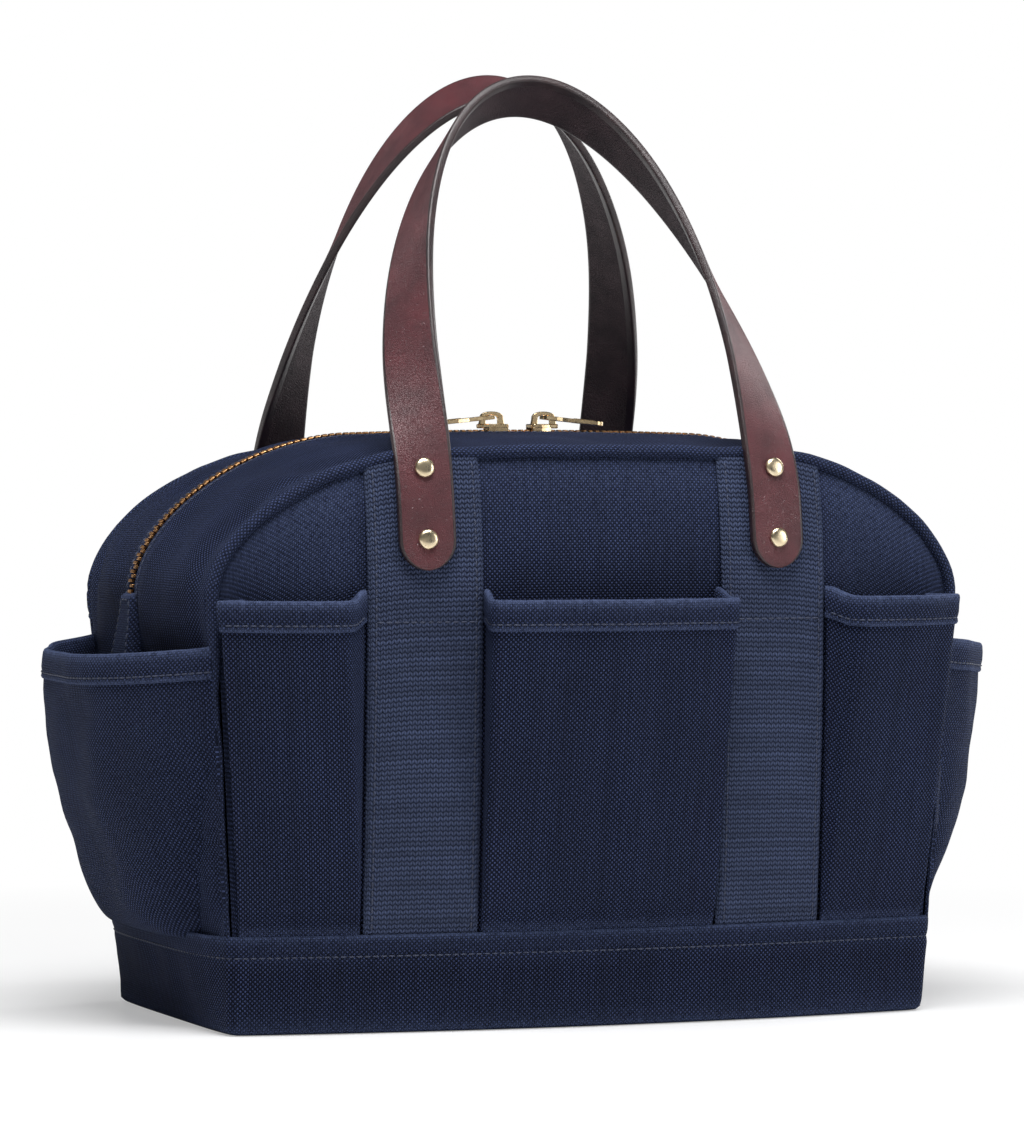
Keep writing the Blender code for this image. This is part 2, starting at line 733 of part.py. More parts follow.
def make_end_tab(side_name, finish):
    """Folded canvas tab that covers the end of the zip, wider at its foot."""
    side = SIDES[side_name]
    top = ZIP_END_HEIGHT + END_TAB_LAP
    grids = []
    for lift in (ZIP_TEETH_TOP + GAP + END_TAB_THICKNESS, ZIP_TEETH_TOP + GAP):
        grid = []
        for share in spread(0, 1, 4):
            z = blend(top - END_TAB_HEIGHT, top, share)
            half = blend(END_TAB_FOOT_WIDTH, END_TAB_TOP_WIDTH, share) / 2
            grid.append([gusset_point(side * half_width(z), z, y, lift) for y in spread(-half, half, 2)])
        grids.append(grid)
    return slab(side_name + "_zip_end_tab", grids[0], grids[1], finish)


def slider_seat(side_name):
    """Middle of the underside of a slider, just above the teeth."""
    x = SIDES[side_name] * SLIDER_REST
    return gusset_point(x, arch_height(x), 0, ZIP_TEETH_TOP + SLIDER_CLEARANCE)


def extruded(points, normal_step):
    """bmesh of a flat outline, pushed through by normal_step."""
    bm = bmesh.new()
    near = bm.faces.new([bm.verts.new(point) for point in points])
    made = bmesh.ops.extrude_face_region(bm, geom=[near])
    lifted = [item for item in made["geom"] if isinstance(item, bmesh.types.BMVert)]
    bmesh.ops.translate(bm, verts=lifted, vec=normal_step)
    return bm


def make_slider(side_name, finish, seat):
    """Slider body: a plate, broad at its mouth and narrow behind, with the bail that holds its pull."""
    side = SIDES[side_name]
    half = SLIDER_LENGTH / 2
    outline = []
    for along, across in ((-1, 1.0), (-0.2, 1.0), (0.7, 0.72), (1, 0.4)):
        outline.append((along * half * side, across * SLIDER_WIDTH / 2))
    outline += [(x, -y) for x, y in reversed(outline)]
    base = seat.location
    plate = [base + Vector((x, y, 0)) for x, y in outline]
    body = place(side_name + "_slider", extruded(plate, (0, 0, SLIDER_HEIGHT)), finish, seat)
    outer, inner = BAIL_SPAN / 2, BAIL_SPAN / 2 - BAIL_WIRE
    low, top = SLIDER_HEIGHT - BAIL_WIRE / 2, SLIDER_HEIGHT + BAIL_OPENING
    half_arch_shape = [
        (outer, low), (outer, top), (inner, top + BAIL_WIRE), (-inner, top + BAIL_WIRE),
        (-outer, top), (-outer, low), (-inner, low), (-inner, top), (inner, top), (inner, low),
    ]
    arch = [base + Vector((x, -BAIL_WIRE / 2, z)) for x, z in half_arch_shape]
    bail = as_cutter(place("bail_" + side_name, extruded(arch, (0, BAIL_WIRE, 0)), finish, seat))
    join = body.modifiers.new("bail", "BOOLEAN")
    join.operation = "UNION"
    join.solver = "EXACT"
    join.object = bail


def pull_axis(side_name):
    """Centre of the bar at the rear of the pull's eye, which turns under the top of the bail."""
    return slider_seat(side_name) + Vector((0, 0, SLIDER_HEIGHT + BAIL_OPENING / 2))


def make_pull(side_name, finish, eye):
    """Pull tab: a bar under the bail, a long eye round the bail's outer leg, and a round-ended grip."""
    side = SIDES[side_name]
    along = Vector((side * math.cos(PULL_DROOP), 0, -math.sin(PULL_DROOP)))
    upward = Vector((side * math.sin(PULL_DROOP), 0, math.cos(PULL_DROOP)))
    half = PULL_WIDTH / 2

    def spot(x, y, lift):
        return eye.location + along * x + Vector((0, y, 0)) + upward * lift

    bar = PULL_BAR / 2
    neck = PULL_EYE_LENGTH + PULL_NECK
    outline = []
    for turn in spread(math.pi / 2, -math.pi / 2, 6):
        outline.append((PULL_LENGTH - half + half * math.cos(turn), half * math.sin(turn)))
    outline += [(neck, -half * 0.7), (neck / 2, -half), (-bar, -half)]
    outline += [(-bar, half), (neck / 2, half), (neck, half * 0.7)]
    low, high = -PULL_THICKNESS / 2, PULL_THICKNESS / 2
    plate = extruded([spot(x, y, low) for x, y in outline], upward * (high - low))
    pull = place(side_name + "_pull", plate, finish, eye)
    slot_half = BAIL_WIRE / 2 + PULL_EYE_ROOM
    end = PULL_EYE_LENGTH
    window = ((bar, -slot_half), (end, -slot_half), (end, slot_half), (bar, slot_half))
    cutter = extruded([spot(x, y, 3 * low) for x, y in window], upward * 3 * (high - low))
    cut(pull, as_cutter(place("cutter_eye_" + side_name, cutter, finish, eye)))


def main():
    clear_scene()
    canvas = material("navy_canvas", (0.016, 0.026, 0.082), 0.85)
    band_canvas = material("band_canvas", (0.013, 0.020, 0.066), 0.85)
    webbing = material("webbing", (0.050, 0.082, 0.190), 0.8)
    leather = material("leather", (0.100, 0.022, 0.018), 0.45)
    brass = material("brass", (0.80, 0.58, 0.24), 0.25, 1.0)
    tape = material("zip_tape", (0.012, 0.018, 0.055), 0.8)
    teeth = material("zip_teeth", (0.45, 0.24, 0.10), 0.35, 1.0)
    board = material("board", (0.10, 0.08, 0.06), 0.9)

    panels = {face: make_panel(face, canvas) for face in FACES}
    for side in SIDES:
        make_end_gusset(side, canvas)
        make_end_pocket(side, canvas)
        make_zip_end(side, tape, teeth)
        make_end_tab(side, canvas)
    make_base_band(band_canvas)
    flat_plate("bottom_panel", 0, BOARD_THICKNESS, 0, band_canvas)
    board_inset = PANEL_THICKNESS + BASE_SWELL + GAP
    flat_plate("base_board", BOARD_THICKNESS + GAP, BOARD_THICKNESS, board_inset, board)

    for face in FACES:
        make_top_gusset(face, canvas)
        face_pocket_set(face, canvas)
        flap_hinge = pivot(face + "_flap_hinge", (0, FACES[face] * FLAP_HINGE_Y, flap_hinge_height()))
        make_flap(face, canvas, flap_hinge)
        make_zip_half(face, tape, teeth, flap_hinge)
        handle_hinge = pivot(face + "_handle_hinge", hinge_point(face))
        make_handle(face, leather, handle_hinge)
        for side in SIDES:
            straps = [make_webbing(face, side, webbing), make_handle_tab(face, side, leather)]
            for level in RIVET_HEIGHTS:
                cutter = make_rivet(face, side, level, brass)
                for holed in [panels[face], *straps]:
                    cut(holed, cutter)

    for side in SIDES:
        make_slider(side, brass, pivot(side + "_slider_seat", slider_seat(side)))
        make_pull(side, brass, pivot(side + "_pull_hinge", pull_axis(side)))


main()
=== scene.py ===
# %% [markdown]
# # A canvas garden tool bag
#
# This lesson dresses the measured solid model of a garden tool bag. The solid model says where each piece
# is and how it moves. Here each piece gets its real surface: woven canvas, hems, stitches, leather, brass
# rivets and a metal zip. Everything is in metres, and +Z is up. The front of the bag faces -Y.
#
# The solid model is loaded first, and its size is kept, so that the finished bag can be compared with it.

# %% Load the solid model
import json
import math

import bmesh
import bpy
import numpy as np
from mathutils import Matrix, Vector, noise


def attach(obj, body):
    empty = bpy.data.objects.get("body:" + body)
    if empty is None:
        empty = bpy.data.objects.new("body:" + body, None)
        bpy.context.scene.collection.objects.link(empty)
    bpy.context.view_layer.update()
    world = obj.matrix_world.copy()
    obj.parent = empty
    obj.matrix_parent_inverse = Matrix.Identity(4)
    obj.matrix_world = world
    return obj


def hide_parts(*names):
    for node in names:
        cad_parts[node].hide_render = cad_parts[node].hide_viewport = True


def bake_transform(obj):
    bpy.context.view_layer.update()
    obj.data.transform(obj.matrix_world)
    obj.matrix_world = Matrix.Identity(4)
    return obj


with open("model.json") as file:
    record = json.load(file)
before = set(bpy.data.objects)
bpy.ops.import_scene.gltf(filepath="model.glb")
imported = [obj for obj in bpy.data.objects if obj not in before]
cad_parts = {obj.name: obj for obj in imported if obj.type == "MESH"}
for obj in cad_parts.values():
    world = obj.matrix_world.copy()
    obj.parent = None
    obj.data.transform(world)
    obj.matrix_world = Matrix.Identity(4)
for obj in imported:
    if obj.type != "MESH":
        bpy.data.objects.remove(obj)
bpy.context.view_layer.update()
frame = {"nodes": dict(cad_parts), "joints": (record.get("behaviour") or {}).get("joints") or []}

# %% [markdown]
# ## Sizes that several pieces share
#
# A sewn bag has one body form that every panel, pocket and strap follows. It is written here as a few
# formulas: how wide and how deep the bag is at each height, how far the front bulges, and the arch of the
# top seam. They repeat the driving sizes of the solid model, so pieces made from them land on it.

# %% Driving sizes
MM = 0.001
BASE_WIDTH = 322 * MM
SHOULDER_WIDTH = 345 * MM
BASE_DEPTH = 166 * MM
SHOULDER_DEPTH = 182 * MM
TOP_DEPTH = 166 * MM
SHOULDER_HEIGHT = 190 * MM
SHOULDER_RISE = 55 * MM
SHOULDER_RUN = 90 * MM
SHOULDER_POWER = 1.75
CROWN = 6 * MM
BASE_BULGE = 15 * MM
TOP_BULGE = 18 * MM
BASE_SWELL = 1.5 * MM
TOP_SWELL = 9 * MM
SWELL_POWER = 4
SWELL_HEIGHT = 110 * MM
BAND_HEIGHT = 43 * MM
POCKET_TOP = 188 * MM
END_POCKET_TOP = 168 * MM
WEBBING_WIDTH = 50.8 * MM
WEBBING_SPACING = 162 * MM
HANDLE_WIDTH = 25.4 * MM
LEATHER_THICKNESS = 3.8 * MM
ZIP_END_HEIGHT = 180 * MM
FACES = {"front": -1, "back": 1}
SIDES = {"left": -1, "right": 1}


# %% Small helpers for numbers
def spread(low, high, count):
    """count + 1 evenly spaced values from low to high."""
    return [low + (high - low) * step / count for step in range(count + 1)]


def mix(low, high, share):
    return low + (high - low) * share


def ease(share):
    """0 to 1 with a soft start and a soft end."""
    share = min(max(share, 0), 1)
    return share * share * (3 - 2 * share)


def ripple(point, size, seed=0.0):
    """Smooth random value from -1 to 1 that changes over a distance of about size."""
    return noise.noise(Vector(point) / size + Vector((seed, seed * 1.7, -seed)))


# %% The body's form
def half_width(z):
    return mix(BASE_WIDTH, SHOULDER_WIDTH, min(z / SHOULDER_HEIGHT, 1)) / 2


def corner_depth(z):
    """Half of the body's depth at its upright corner seams."""
    if z <= SHOULDER_HEIGHT:
        return mix(BASE_DEPTH, SHOULDER_DEPTH, math.sin(math.pi / 2 * z / SHOULDER_HEIGHT)) / 2
    share = (z - SHOULDER_HEIGHT) / (SHOULDER_RISE + CROWN)
    return mix(SHOULDER_DEPTH, TOP_DEPTH, share * share) / 2


def panel_depth(x, z):
    """Distance of the front or back panel's face from the bag's middle plane."""
    bulge = mix(BASE_BULGE, TOP_BULGE, min(z / SHOULDER_HEIGHT, 1))
    return corner_depth(z) + bulge * (1 - (x / half_width(z)) ** 2)


def panel_point(x, z, lift=0.0, face=-1):
    """Point lifted off the front (-1) or back (1) panel along its normal."""
    slope_x = (panel_depth(x + MM, z) - panel_depth(x - MM, z)) / (2 * MM)
    slope_z = (panel_depth(x, z + MM) - panel_depth(x, z - MM)) / (2 * MM)
    outward = Vector((-slope_x, 1, -slope_z)).normalized()
    spot = Vector((x, panel_depth(x, z), z)) + outward * lift
    return Vector((spot.x, face * spot.y, spot.z))


def panel_normal(x, z, face=-1):
    return (panel_point(x, z, MM, face) - panel_point(x, z, 0, face)).normalized()


def arch_height(x):
    """Height of the panel's top seam above x."""
    beyond = max(abs(x) - (SHOULDER_WIDTH / 2 - SHOULDER_RUN), 0) / SHOULDER_RUN
    rise = max(1 - beyond**SHOULDER_POWER, 0) ** (1 / SHOULDER_POWER)
    return SHOULDER_HEIGHT + SHOULDER_RISE * rise + CROWN * (1 - (2 * x / SHOULDER_WIDTH) ** 2)


def arch_normal(x, z):
    """Outward direction of the arch, in the plane of the panel."""
    if z <= SHOULDER_HEIGHT:
        return Vector((math.copysign(1, x), 0, 0))
    step = min(0.1 * MM, (SHOULDER_WIDTH / 2 - abs(x)) / 4)
    drop = (arch_height(abs(x) - step) - arch_height(abs(x) + step)) / (2 * step)
    return Vector((math.copysign(drop, x), 0, 1)).normalized()


def gusset_edge(x, z):
    """Half of the width of the cloth that runs over the arch."""
    return panel_depth(x, z) - 2.7 * MM


def gusset_point(x, z, y, lift=0.0):
    """Point on the end and roof cloth, which swells between its two seams."""
    share = min(abs(y) / gusset_edge(x, z), 1)
    full = TOP_SWELL * min(z / SWELL_HEIGHT, 1)
    out = full * (1 - share**SWELL_POWER) + lift
    return Vector((x, y, z)) + arch_normal(x, z) * out


def arch_path(start, count=96):
    """(x, z) points of the whole arch at even distances. It starts and ends at height start."""
    corner = [math.pi / 2 * share for share in spread(0, 1, 60)]
    straight = SHOULDER_WIDTH / 2 - SHOULDER_RUN
    half = [(half_width(z), z) for z in spread(start, SHOULDER_HEIGHT, 30)]
    for turn in corner[1:]:
        x = straight + SHOULDER_RUN * math.cos(turn) ** (2 / SHOULDER_POWER)
        half.append((x, arch_height(x)))
    half += [(x, arch_height(x)) for x in spread(straight, 0, 40)[1:]]
    dense = [(-x, z) for x, z in half] + half[-2::-1]
    travelled = [0.0]
    for (x0, z0), (x1, z1) in zip(dense, dense[1:]):
        travelled.append(travelled[-1] + math.hypot(x1 - x0, z1 - z0))
    places = np.linspace(0, travelled[-1], count + 1)
    xs = np.interp(places, travelled, [x for x, _ in dense])
    zs = np.interp(places, travelled, [z for _, z in dense])
    return [(float(x), float(z)) for x, z in zip(xs, zs)]


def length_of(line):
    """Length of a line of points."""
    return sum((Vector(b) - Vector(a)).length for a, b in zip(line, line[1:]))


ARCH_LENGTH = length_of(arch_path(ZIP_END_HEIGHT))
print(f"the zip runs {ARCH_LENGTH * 1000:.0f} mm over the arch")

# %% [markdown]
# ## Camera, floor and light
#
# The bag stands on a pale studio floor in soft light, seen from a little left of the front. A long lens far
# away keeps its upright lines upright. The floor is so bright that it joins the white background, and only
# the bag's soft shadow and a faint reflection show on it. Most light comes from a wide lamp above, with a
# lower one in front on the right and two behind that draw a pale line along the edges of the cloth.

# %% Camera
CAMERA_TURN = math.radians(20.36)
CAMERA_PITCH = math.radians(1.21)
CAMERA_DISTANCE = 2.5046
CAMERA_HEIGHT = 0.25085
scene = bpy.context.scene
camera_data = bpy.data.cameras.new("camera")
camera = bpy.data.objects.new("camera", camera_data)
scene.collection.objects.link(camera)
camera.location = (
    -CAMERA_DISTANCE * math.sin(CAMERA_TURN),
    -CAMERA_DISTANCE * math.cos(CAMERA_TURN),
    CAMERA_HEIGHT,
)
camera.rotation_euler = (math.pi / 2 - CAMERA_PITCH, 0, -CAMERA_TURN)
camera_data.sensor_fit = "VERTICAL"
camera_data.sensor_height = 36
camera_data.lens = 174.7
camera_data.shift_x = -0.0046
scene.camera = camera
print(f"camera {CAMERA_DISTANCE:.2f} m away, lens {camera_data.lens} mm")


# %% Lights
def area_light(name, location, aim, size, power, colour=(1, 1, 1)):
    data = bpy.data.lights.new(name, "AREA")
    data.shape = "RECTANGLE"
    data.size, data.size_y = size
    data.energy = power
    data.color = colour
    lamp = bpy.data.objects.new(name, data)
    scene.collection.objects.link(lamp)
    lamp.location = location
    lamp.rotation_euler = (Vector(aim) - Vector(location)).to_track_quat("-Z", "Y").to_euler()
    return lamp


MIDDLE = (0, 0, 0.15)
area_light("overhead_softbox", (-0.15, -0.55, 1.6), MIDDLE, (1.0, 0.7), 31)
area_light("front_right_softbox", (1.8, -1.6, 0.8), MIDDLE, (0.8, 1.2), 14)
area_light("left_rim", (-1.5, 1.5, 1.1), MIDDLE, (0.5, 1.2), 6)
area_light("right_rim", (1.6, 0.7, 0.9), MIDDLE, (0.6, 1.5), 13)
scene.view_settings.view_transform = "Standard"

world = bpy.data.worlds.new("studio")
scene.world = world
world.use_nodes = True
sky = world.node_tree
sky.nodes.clear()
seen = sky.nodes.new("ShaderNodeBackground")
seen.inputs["Strength"].default_value = 1.0
seen.inputs["Color"].default_value = (1, 1, 1, 1)
felt = sky.nodes.new("ShaderNodeBackground")
felt.inputs["Strength"].default_value = 0.07
felt.inputs["Color"].default_value = (0.97, 0.985, 1, 1)
rays = sky.nodes.new("ShaderNodeLightPath")
choice = sky.nodes.new("ShaderNodeMixShader")
end = sky.nodes.new("ShaderNodeOutputWorld")
sky.links.new(rays.outputs["Is Camera Ray"], choice.inputs["Fac"])
sky.links.new(felt.outputs[0], choice.inputs[1])
sky.links.new(seen.outputs[0], choice.inputs[2])
sky.links.new(choice.outputs[0], end.inputs["Surface"])

# %% [markdown]
# ## Writing shader nodes in short lines
#
# The finishes below are made of many small maths nodes. A tiny helper that adds a node, sets it up and
# joins it to what feeds it keeps each finish readable. A second helper starts a node group, with its inputs
# and outputs named, so that one weave or one kind of wear serves several materials.


# %% Node helpers
class Tree:
    """A node tree with short ways to add nodes. Values and sockets can both be given as inputs."""

    def __init__(self, tree):
        self.tree = tree

    def add(self, kind, inputs=(), **settings):
        node = self.tree.nodes.new("ShaderNode" + kind)
        for key, value in settings.items():
            setattr(node, key, value)
        for key, value in dict(inputs).items():
            self.feed(value, node.inputs[key])
        return node

    def feed(self, value, socket):
        if isinstance(value, bpy.types.NodeSocket):
            self.tree.links.new(value, socket)
        elif value is not None:
            socket.default_value = value

    def math(self, operation, *values, clamp=False):
        inputs = {place: value for place, value in enumerate(values)}
        return self.add("Math", inputs, operation=operation, use_clamp=clamp).outputs[0]

    def blend(self, share, low, high, kind="MIX"):
        node = self.add("Mix", data_type="RGBA", blend_type=kind, clamp_factor=True)
        colours = [socket for socket in node.inputs if socket.type == "RGBA"]
        self.feed(share, node.inputs["Factor"])
        self.feed(low, colours[0])
        self.feed(high, colours[1])
        return next(socket for socket in node.outputs if socket.type == "RGBA")

    def vector(self, operation, first, second=None, scale=None):
        inputs = {0: first, "Scale": scale} if second is None else {0: first, 1: second}
        return self.add("VectorMath", inputs, operation=operation).outputs[0]

    def remap(self, value, low, high, to_low=0.0, to_high=1.0):
        inputs = {"Value": value, "From Min": low, "From Max": high, "To Min": to_low, "To Max": to_high}
        return self.add("MapRange", inputs, clamp=True).outputs["Result"]

    def noise(self, place, scale, detail=2.0, roughness=0.5):
        inputs = {"Vector": place, "Scale": scale, "Detail": detail, "Roughness": roughness}
        return self.add("TexNoise", inputs).outputs["Fac"]


SOCKETS = {"value": "NodeSocketFloat", "vector": "NodeSocketVector", "colour": "NodeSocketColor"}


def stir(tree, place, scale, reach):
    """The place moved about by soft noise, so that threads are never ruled lines."""
    wander = tree.add("TexNoise", {"Vector": place, "Scale": scale, "Detail": 1.0}).outputs["Color"]
    centred = tree.vector("SUBTRACT", wander, (0.5, 0.5, 0.5))
    return tree.vector("ADD", place, tree.vector("SCALE", centred, scale=reach))


def random_tone(tree, index):
    """A fixed random value for each whole number, such as a thread's place in the cloth."""
    return tree.add("TexWhiteNoise", {"W": index}, noise_dimensions="1D").outputs["Value"]


def start_group(name, inputs, outputs):
    """A new node group with named inputs {name: (kind, default)} and outputs {name: kind}."""
    group = bpy.data.node_groups.new(name, "ShaderNodeTree")
    for label, (kind, default) in inputs.items():
        socket = group.interface.new_socket(label, in_out="INPUT", socket_type=SOCKETS[kind])
        socket.default_value = default
    for label, kind in outputs.items():
        group.interface.new_socket(label, in_out="OUTPUT", socket_type=SOCKETS[kind])
    tree = Tree(group)
    source = group.nodes.new("NodeGroupInput").outputs
    target = group.nodes.new("NodeGroupOutput").inputs
    return group, tree, source, target


def use_group(tree, group, inputs):
    node = tree.tree.nodes.new("ShaderNodeGroup")
    node.node_tree = group
    for key, value in inputs.items():
        tree.feed(value, node.inputs[key])
    return node.outputs


# %% [markdown]
# ## Cloth finishes
#
# Duck canvas is a plain weave of thick threads about a millimetre apart. Each thread shows as a row of small
# ovals, where it passes over the threads that cross it. The ovals can be drawn by two sine waves and a
# chequer that swaps which thread is on top. The weave follows a UV map that measures the cloth in metres, so
# that threads keep their size on every piece and run along its edges.

# %% The plain weave of canvas
plain_weave, tree, source, target = start_group(
    "plain_weave",
    {"Place": ("vector", (0, 0, 0)), "Pitch": ("value", 1.05 * MM), "Unevenness": ("value", 0.25)},
    {"Height": "value", "Crown": "value", "Thread tone": "value"},
)
reach = tree.math("MULTIPLY", source["Unevenness"], source["Pitch"])
place = tree.add("SeparateXYZ", {0: stir(tree, source["Place"], 160.0, reach)}).outputs
across = tree.math("DIVIDE", place["X"], source["Pitch"])
along = tree.math("DIVIDE", place["Y"], source["Pitch"])
wave_across = tree.math("SINE", tree.math("MULTIPLY", across, math.pi))
wave_along = tree.math("SINE", tree.math("MULTIPLY", along, math.pi))
warp_on_top = tree.math("GREATER_THAN", tree.math("MULTIPLY", wave_across, wave_along), 0.0)
weft_on_top = tree.math("SUBTRACT", 1.0, warp_on_top)
bump_across = tree.math("ABSOLUTE", wave_across)
bump_along = tree.math("ABSOLUTE", wave_along)
warp = tree.math("MULTIPLY", tree.math("POWER", bump_across, 0.55), tree.math("POWER", bump_along, 0.35))
weft = tree.math("MULTIPLY", tree.math("POWER", bump_across, 0.35), tree.math("POWER", bump_along, 0.55))
upper = tree.math("MULTIPLY", warp, warp_on_top)
lower = tree.math("MULTIPLY", tree.math("MULTIPLY", weft, 0.42), weft_on_top)
height = tree.math("ADD", upper, lower)
warp_tone = random_tone(tree, tree.math("FLOOR", across))
weft_tone = random_tone(tree, tree.math("ADD", tree.math("FLOOR", along), 71.3))
warp_share = tree.math("MULTIPLY", warp_tone, warp_on_top)
weft_share = tree.math("MULTIPLY", weft_tone, weft_on_top)
tree.feed(height, target["Height"])
# Crown also places the painted highlight on thread tops and the painted shade in the hollows between them.
tree.feed(tree.remap(height, 0.35, 0.95), target["Crown"])
tree.feed(tree.math("ADD", warp_share, weft_share), target["Thread tone"])
print("plain_weave:", len(plain_weave.nodes), "nodes")

# %% [markdown]
# Webbing is woven narrow and heavy. Its face shows rows of plump threads that run across the strap in a
# zigzag. The pits between them get painted shade and the threads' tops a painted highlight. A sine along the
# strap makes the rows, and a triangle wave across it bends them.

# %% The weave of webbing
webbing_weave, tree, source, target = start_group(
    "webbing_weave",
    {"Place": ("vector", (0, 0, 0)), "Row": ("value", 2.1 * MM), "Zigzag": ("value", 2.4 * MM)},
    {"Height": "value", "Crown": "value", "Thread tone": "value"},
)
place = tree.add("SeparateXYZ", {0: stir(tree, source["Place"], 220.0, 0.7 * MM)}).outputs
across = tree.math("DIVIDE", place["X"], source["Zigzag"])
along = tree.math("DIVIDE", place["Y"], source["Row"])
zigzag = tree.math("PINGPONG", across, 0.5)
bent = tree.math("ADD", along, tree.math("MULTIPLY", zigzag, 0.9))
row_wave = tree.math("ABSOLUTE", tree.math("SINE", tree.math("MULTIPLY", bent, math.pi)))
rib_wave = tree.math("ABSOLUTE", tree.math("SINE", tree.math("MULTIPLY", across, math.tau)))
rib = tree.math("MULTIPLY_ADD", tree.math("POWER", rib_wave, 0.7), 0.5, 0.5)
height = tree.math("MULTIPLY", tree.math("POWER", row_wave, 0.7), rib)
tree.feed(height, target["Height"])
# Crown also places the painted highlight on the rows and the painted shade in the pits between them.
tree.feed(tree.math("POWER", height, 1.6), target["Crown"])
tree.feed(random_tone(tree, tree.math("FLOOR", bent)), target["Thread tone"])
print("webbing_weave:", len(webbing_weave.nodes), "nodes")

# %% [markdown]
# Dyed cotton is never one colour. It fades along folds and hems, where it rubs, and it has faint clouds and
# streaks from dyeing and washing. Each cloth piece carries a number called worn at each point, painted by
# the code that makes the piece. This group breaks that number up with noise, so the faded rim looks rubbed
# and not drawn, and adds the clouds.

# %% Fading and clouds
fading, tree, source, target = start_group(
    "fading",
    {"Place": ("vector", (0, 0, 0)), "Cloud size": ("value", 0.05)},
    {"Faded": "value", "Cloud": "value", "Streak": "value"},
)
worn = tree.add("Attribute", attribute_name="worn").outputs["Fac"]
grain = tree.noise(source["Place"], 420.0, 3.0, 0.6)
rubbed = tree.math("MULTIPLY", worn, tree.remap(grain, 0.3, 0.7, 0.35, 1.25), clamp=True)
cloud_scale = tree.math("DIVIDE", 1.0, source["Cloud size"])
cloud = tree.noise(source["Place"], cloud_scale, 4.0, 0.55)
stretched = tree.vector("MULTIPLY", source["Place"], (900.0, 45.0, 1.0))
streak = tree.noise(stretched, 1.0, 1.0)
tree.feed(rubbed, target["Faded"])
tree.feed(cloud, target["Cloud"])
tree.feed(streak, target["Streak"])
print("fading:", len(fading.nodes), "nodes")


# %% Cloth materials
def start_material(name):
    finish = bpy.data.materials.new(name)
    finish.use_nodes = True
    tree = Tree(finish.node_tree)
    shader = finish.node_tree.nodes["Principled BSDF"]
    return finish, tree, shader


def emboss(tree, shader, height, strength, distance):
    bump = tree.add("Bump", {"Height": height, "Strength": strength, "Distance": distance})
    tree.feed(bump.outputs["Normal"], shader.inputs["Normal"])


def woven(name, weave, deep, crest_highlight, faded, sizes, relief, sheen):
    """A cloth from a weave group. Its first colour is painted shade in the valleys between its threads, its
    second a painted highlight on their tops.
    """
    finish, tree, shader = start_material(name)
    place = tree.add("UVMap", uv_map="cloth").outputs["UV"]
    threads = use_group(tree, weave, {"Place": place, **sizes})
    age = use_group(tree, fading, {"Place": place})
    # Painted shade in the valleys between threads, painted highlight on their tops.
    colour = tree.blend(threads["Crown"], (*deep, 1), (*crest_highlight, 1))
    tone = tree.math("MULTIPLY_ADD", threads["Thread tone"], 0.34, 0.83)
    clouds = tree.remap(age["Cloud"], 0.3, 0.7, 0.84, 1.16)
    streaks = tree.remap(age["Streak"], 0.3, 0.7, 0.92, 1.08)
    light = tree.math("MULTIPLY", tree.math("MULTIPLY", tone, clouds), streaks)
    shaded = tree.vector("SCALE", colour, scale=light)
    colour = tree.blend(age["Faded"], shaded, (*faded, 1))
    tree.feed(colour, shader.inputs["Base Color"])
    tree.feed(tree.remap(threads["Crown"], 0, 1, 0.92, 0.72), shader.inputs["Roughness"])
    shader.inputs["Sheen Weight"].default_value = sheen
    shader.inputs["Sheen Roughness"].default_value = 0.45
    shader.inputs["Sheen Tint"].default_value = (0.35, 0.5, 1.0, 1)
    shader.inputs["Specular IOR Level"].default_value = 0.12
    emboss(tree, shader, threads["Height"], 0.9, relief)
    return finish


CANVAS = {"Pitch": 1.05 * MM, "Unevenness": 0.35}
# For each cloth: painted shade in the thread valleys, painted highlight on the thread tops, then the faded
# colour.
canvas = woven(
    "canvas", plain_weave, (0.0008, 0.0015, 0.0060), (0.043, 0.061, 0.150), (0.080, 0.106, 0.205),
    CANVAS, relief=0.50 * MM, sheen=0.04,
)
band_canvas = woven(
    "band_canvas", plain_weave, (0.0008, 0.0015, 0.0058), (0.039, 0.055, 0.136), (0.066, 0.090, 0.178),
    CANVAS, relief=0.50 * MM, sheen=0.03,
)
webbing_cloth = woven(
    "webbing_cloth", webbing_weave, (0.0030, 0.0046, 0.0130), (0.058, 0.077, 0.150), (0.082, 0.105, 0.182),
    {}, relief=0.8 * MM, sheen=0.03,
)
tape_cloth = woven(
    "tape_cloth", plain_weave, (0.0040, 0.0060, 0.018), (0.020, 0.029, 0.068), (0.05, 0.07, 0.13),
    {"Pitch": 0.55 * MM, "Unevenness": 0.2}, relief=0.12 * MM, sheen=0.08,
)

# %% [markdown]
# Sewing thread is a twisted cord. At this size it only needs its colour and a slanted ridge, which a wave
# along the stitch gives. The same wave paints the grooves of the twist darker as painted shade and its ridges
# lighter as a painted highlight. It is a shade lighter than the canvas, which is why the rows of stitches
# show.

# %% Thread
thread, tree, shader = start_material("thread")
place = tree.add("UVMap", uv_map="cloth").outputs["UV"]
twist = tree.add(
    "TexWave", {"Vector": place, "Scale": 700.0, "Distortion": 0.0}, bands_direction="DIAGONAL"
).outputs["Fac"]
# Painted shade in the grooves of the twist, painted highlight on its ridges.
tree.feed(tree.blend(twist, (0.007, 0.011, 0.028, 1), (0.046, 0.062, 0.125, 1)), shader.inputs["Base Color"])
shader.inputs["Roughness"].default_value = 0.6
shader.inputs["Sheen Weight"].default_value = 0.1
emboss(tree, shader, twist, 0.6, 0.08 * MM)

# %% [markdown]
# ## Leather and metal
#
# Bridle leather has two faces. The grain side is smooth and waxed, burgundy brown, with fine pores and soft
# clouds. The flesh side is rough and darker, and the cut edges are burnished nearly black. One leather grain
# group draws the pores and clouds, and each face uses it with its own strength.

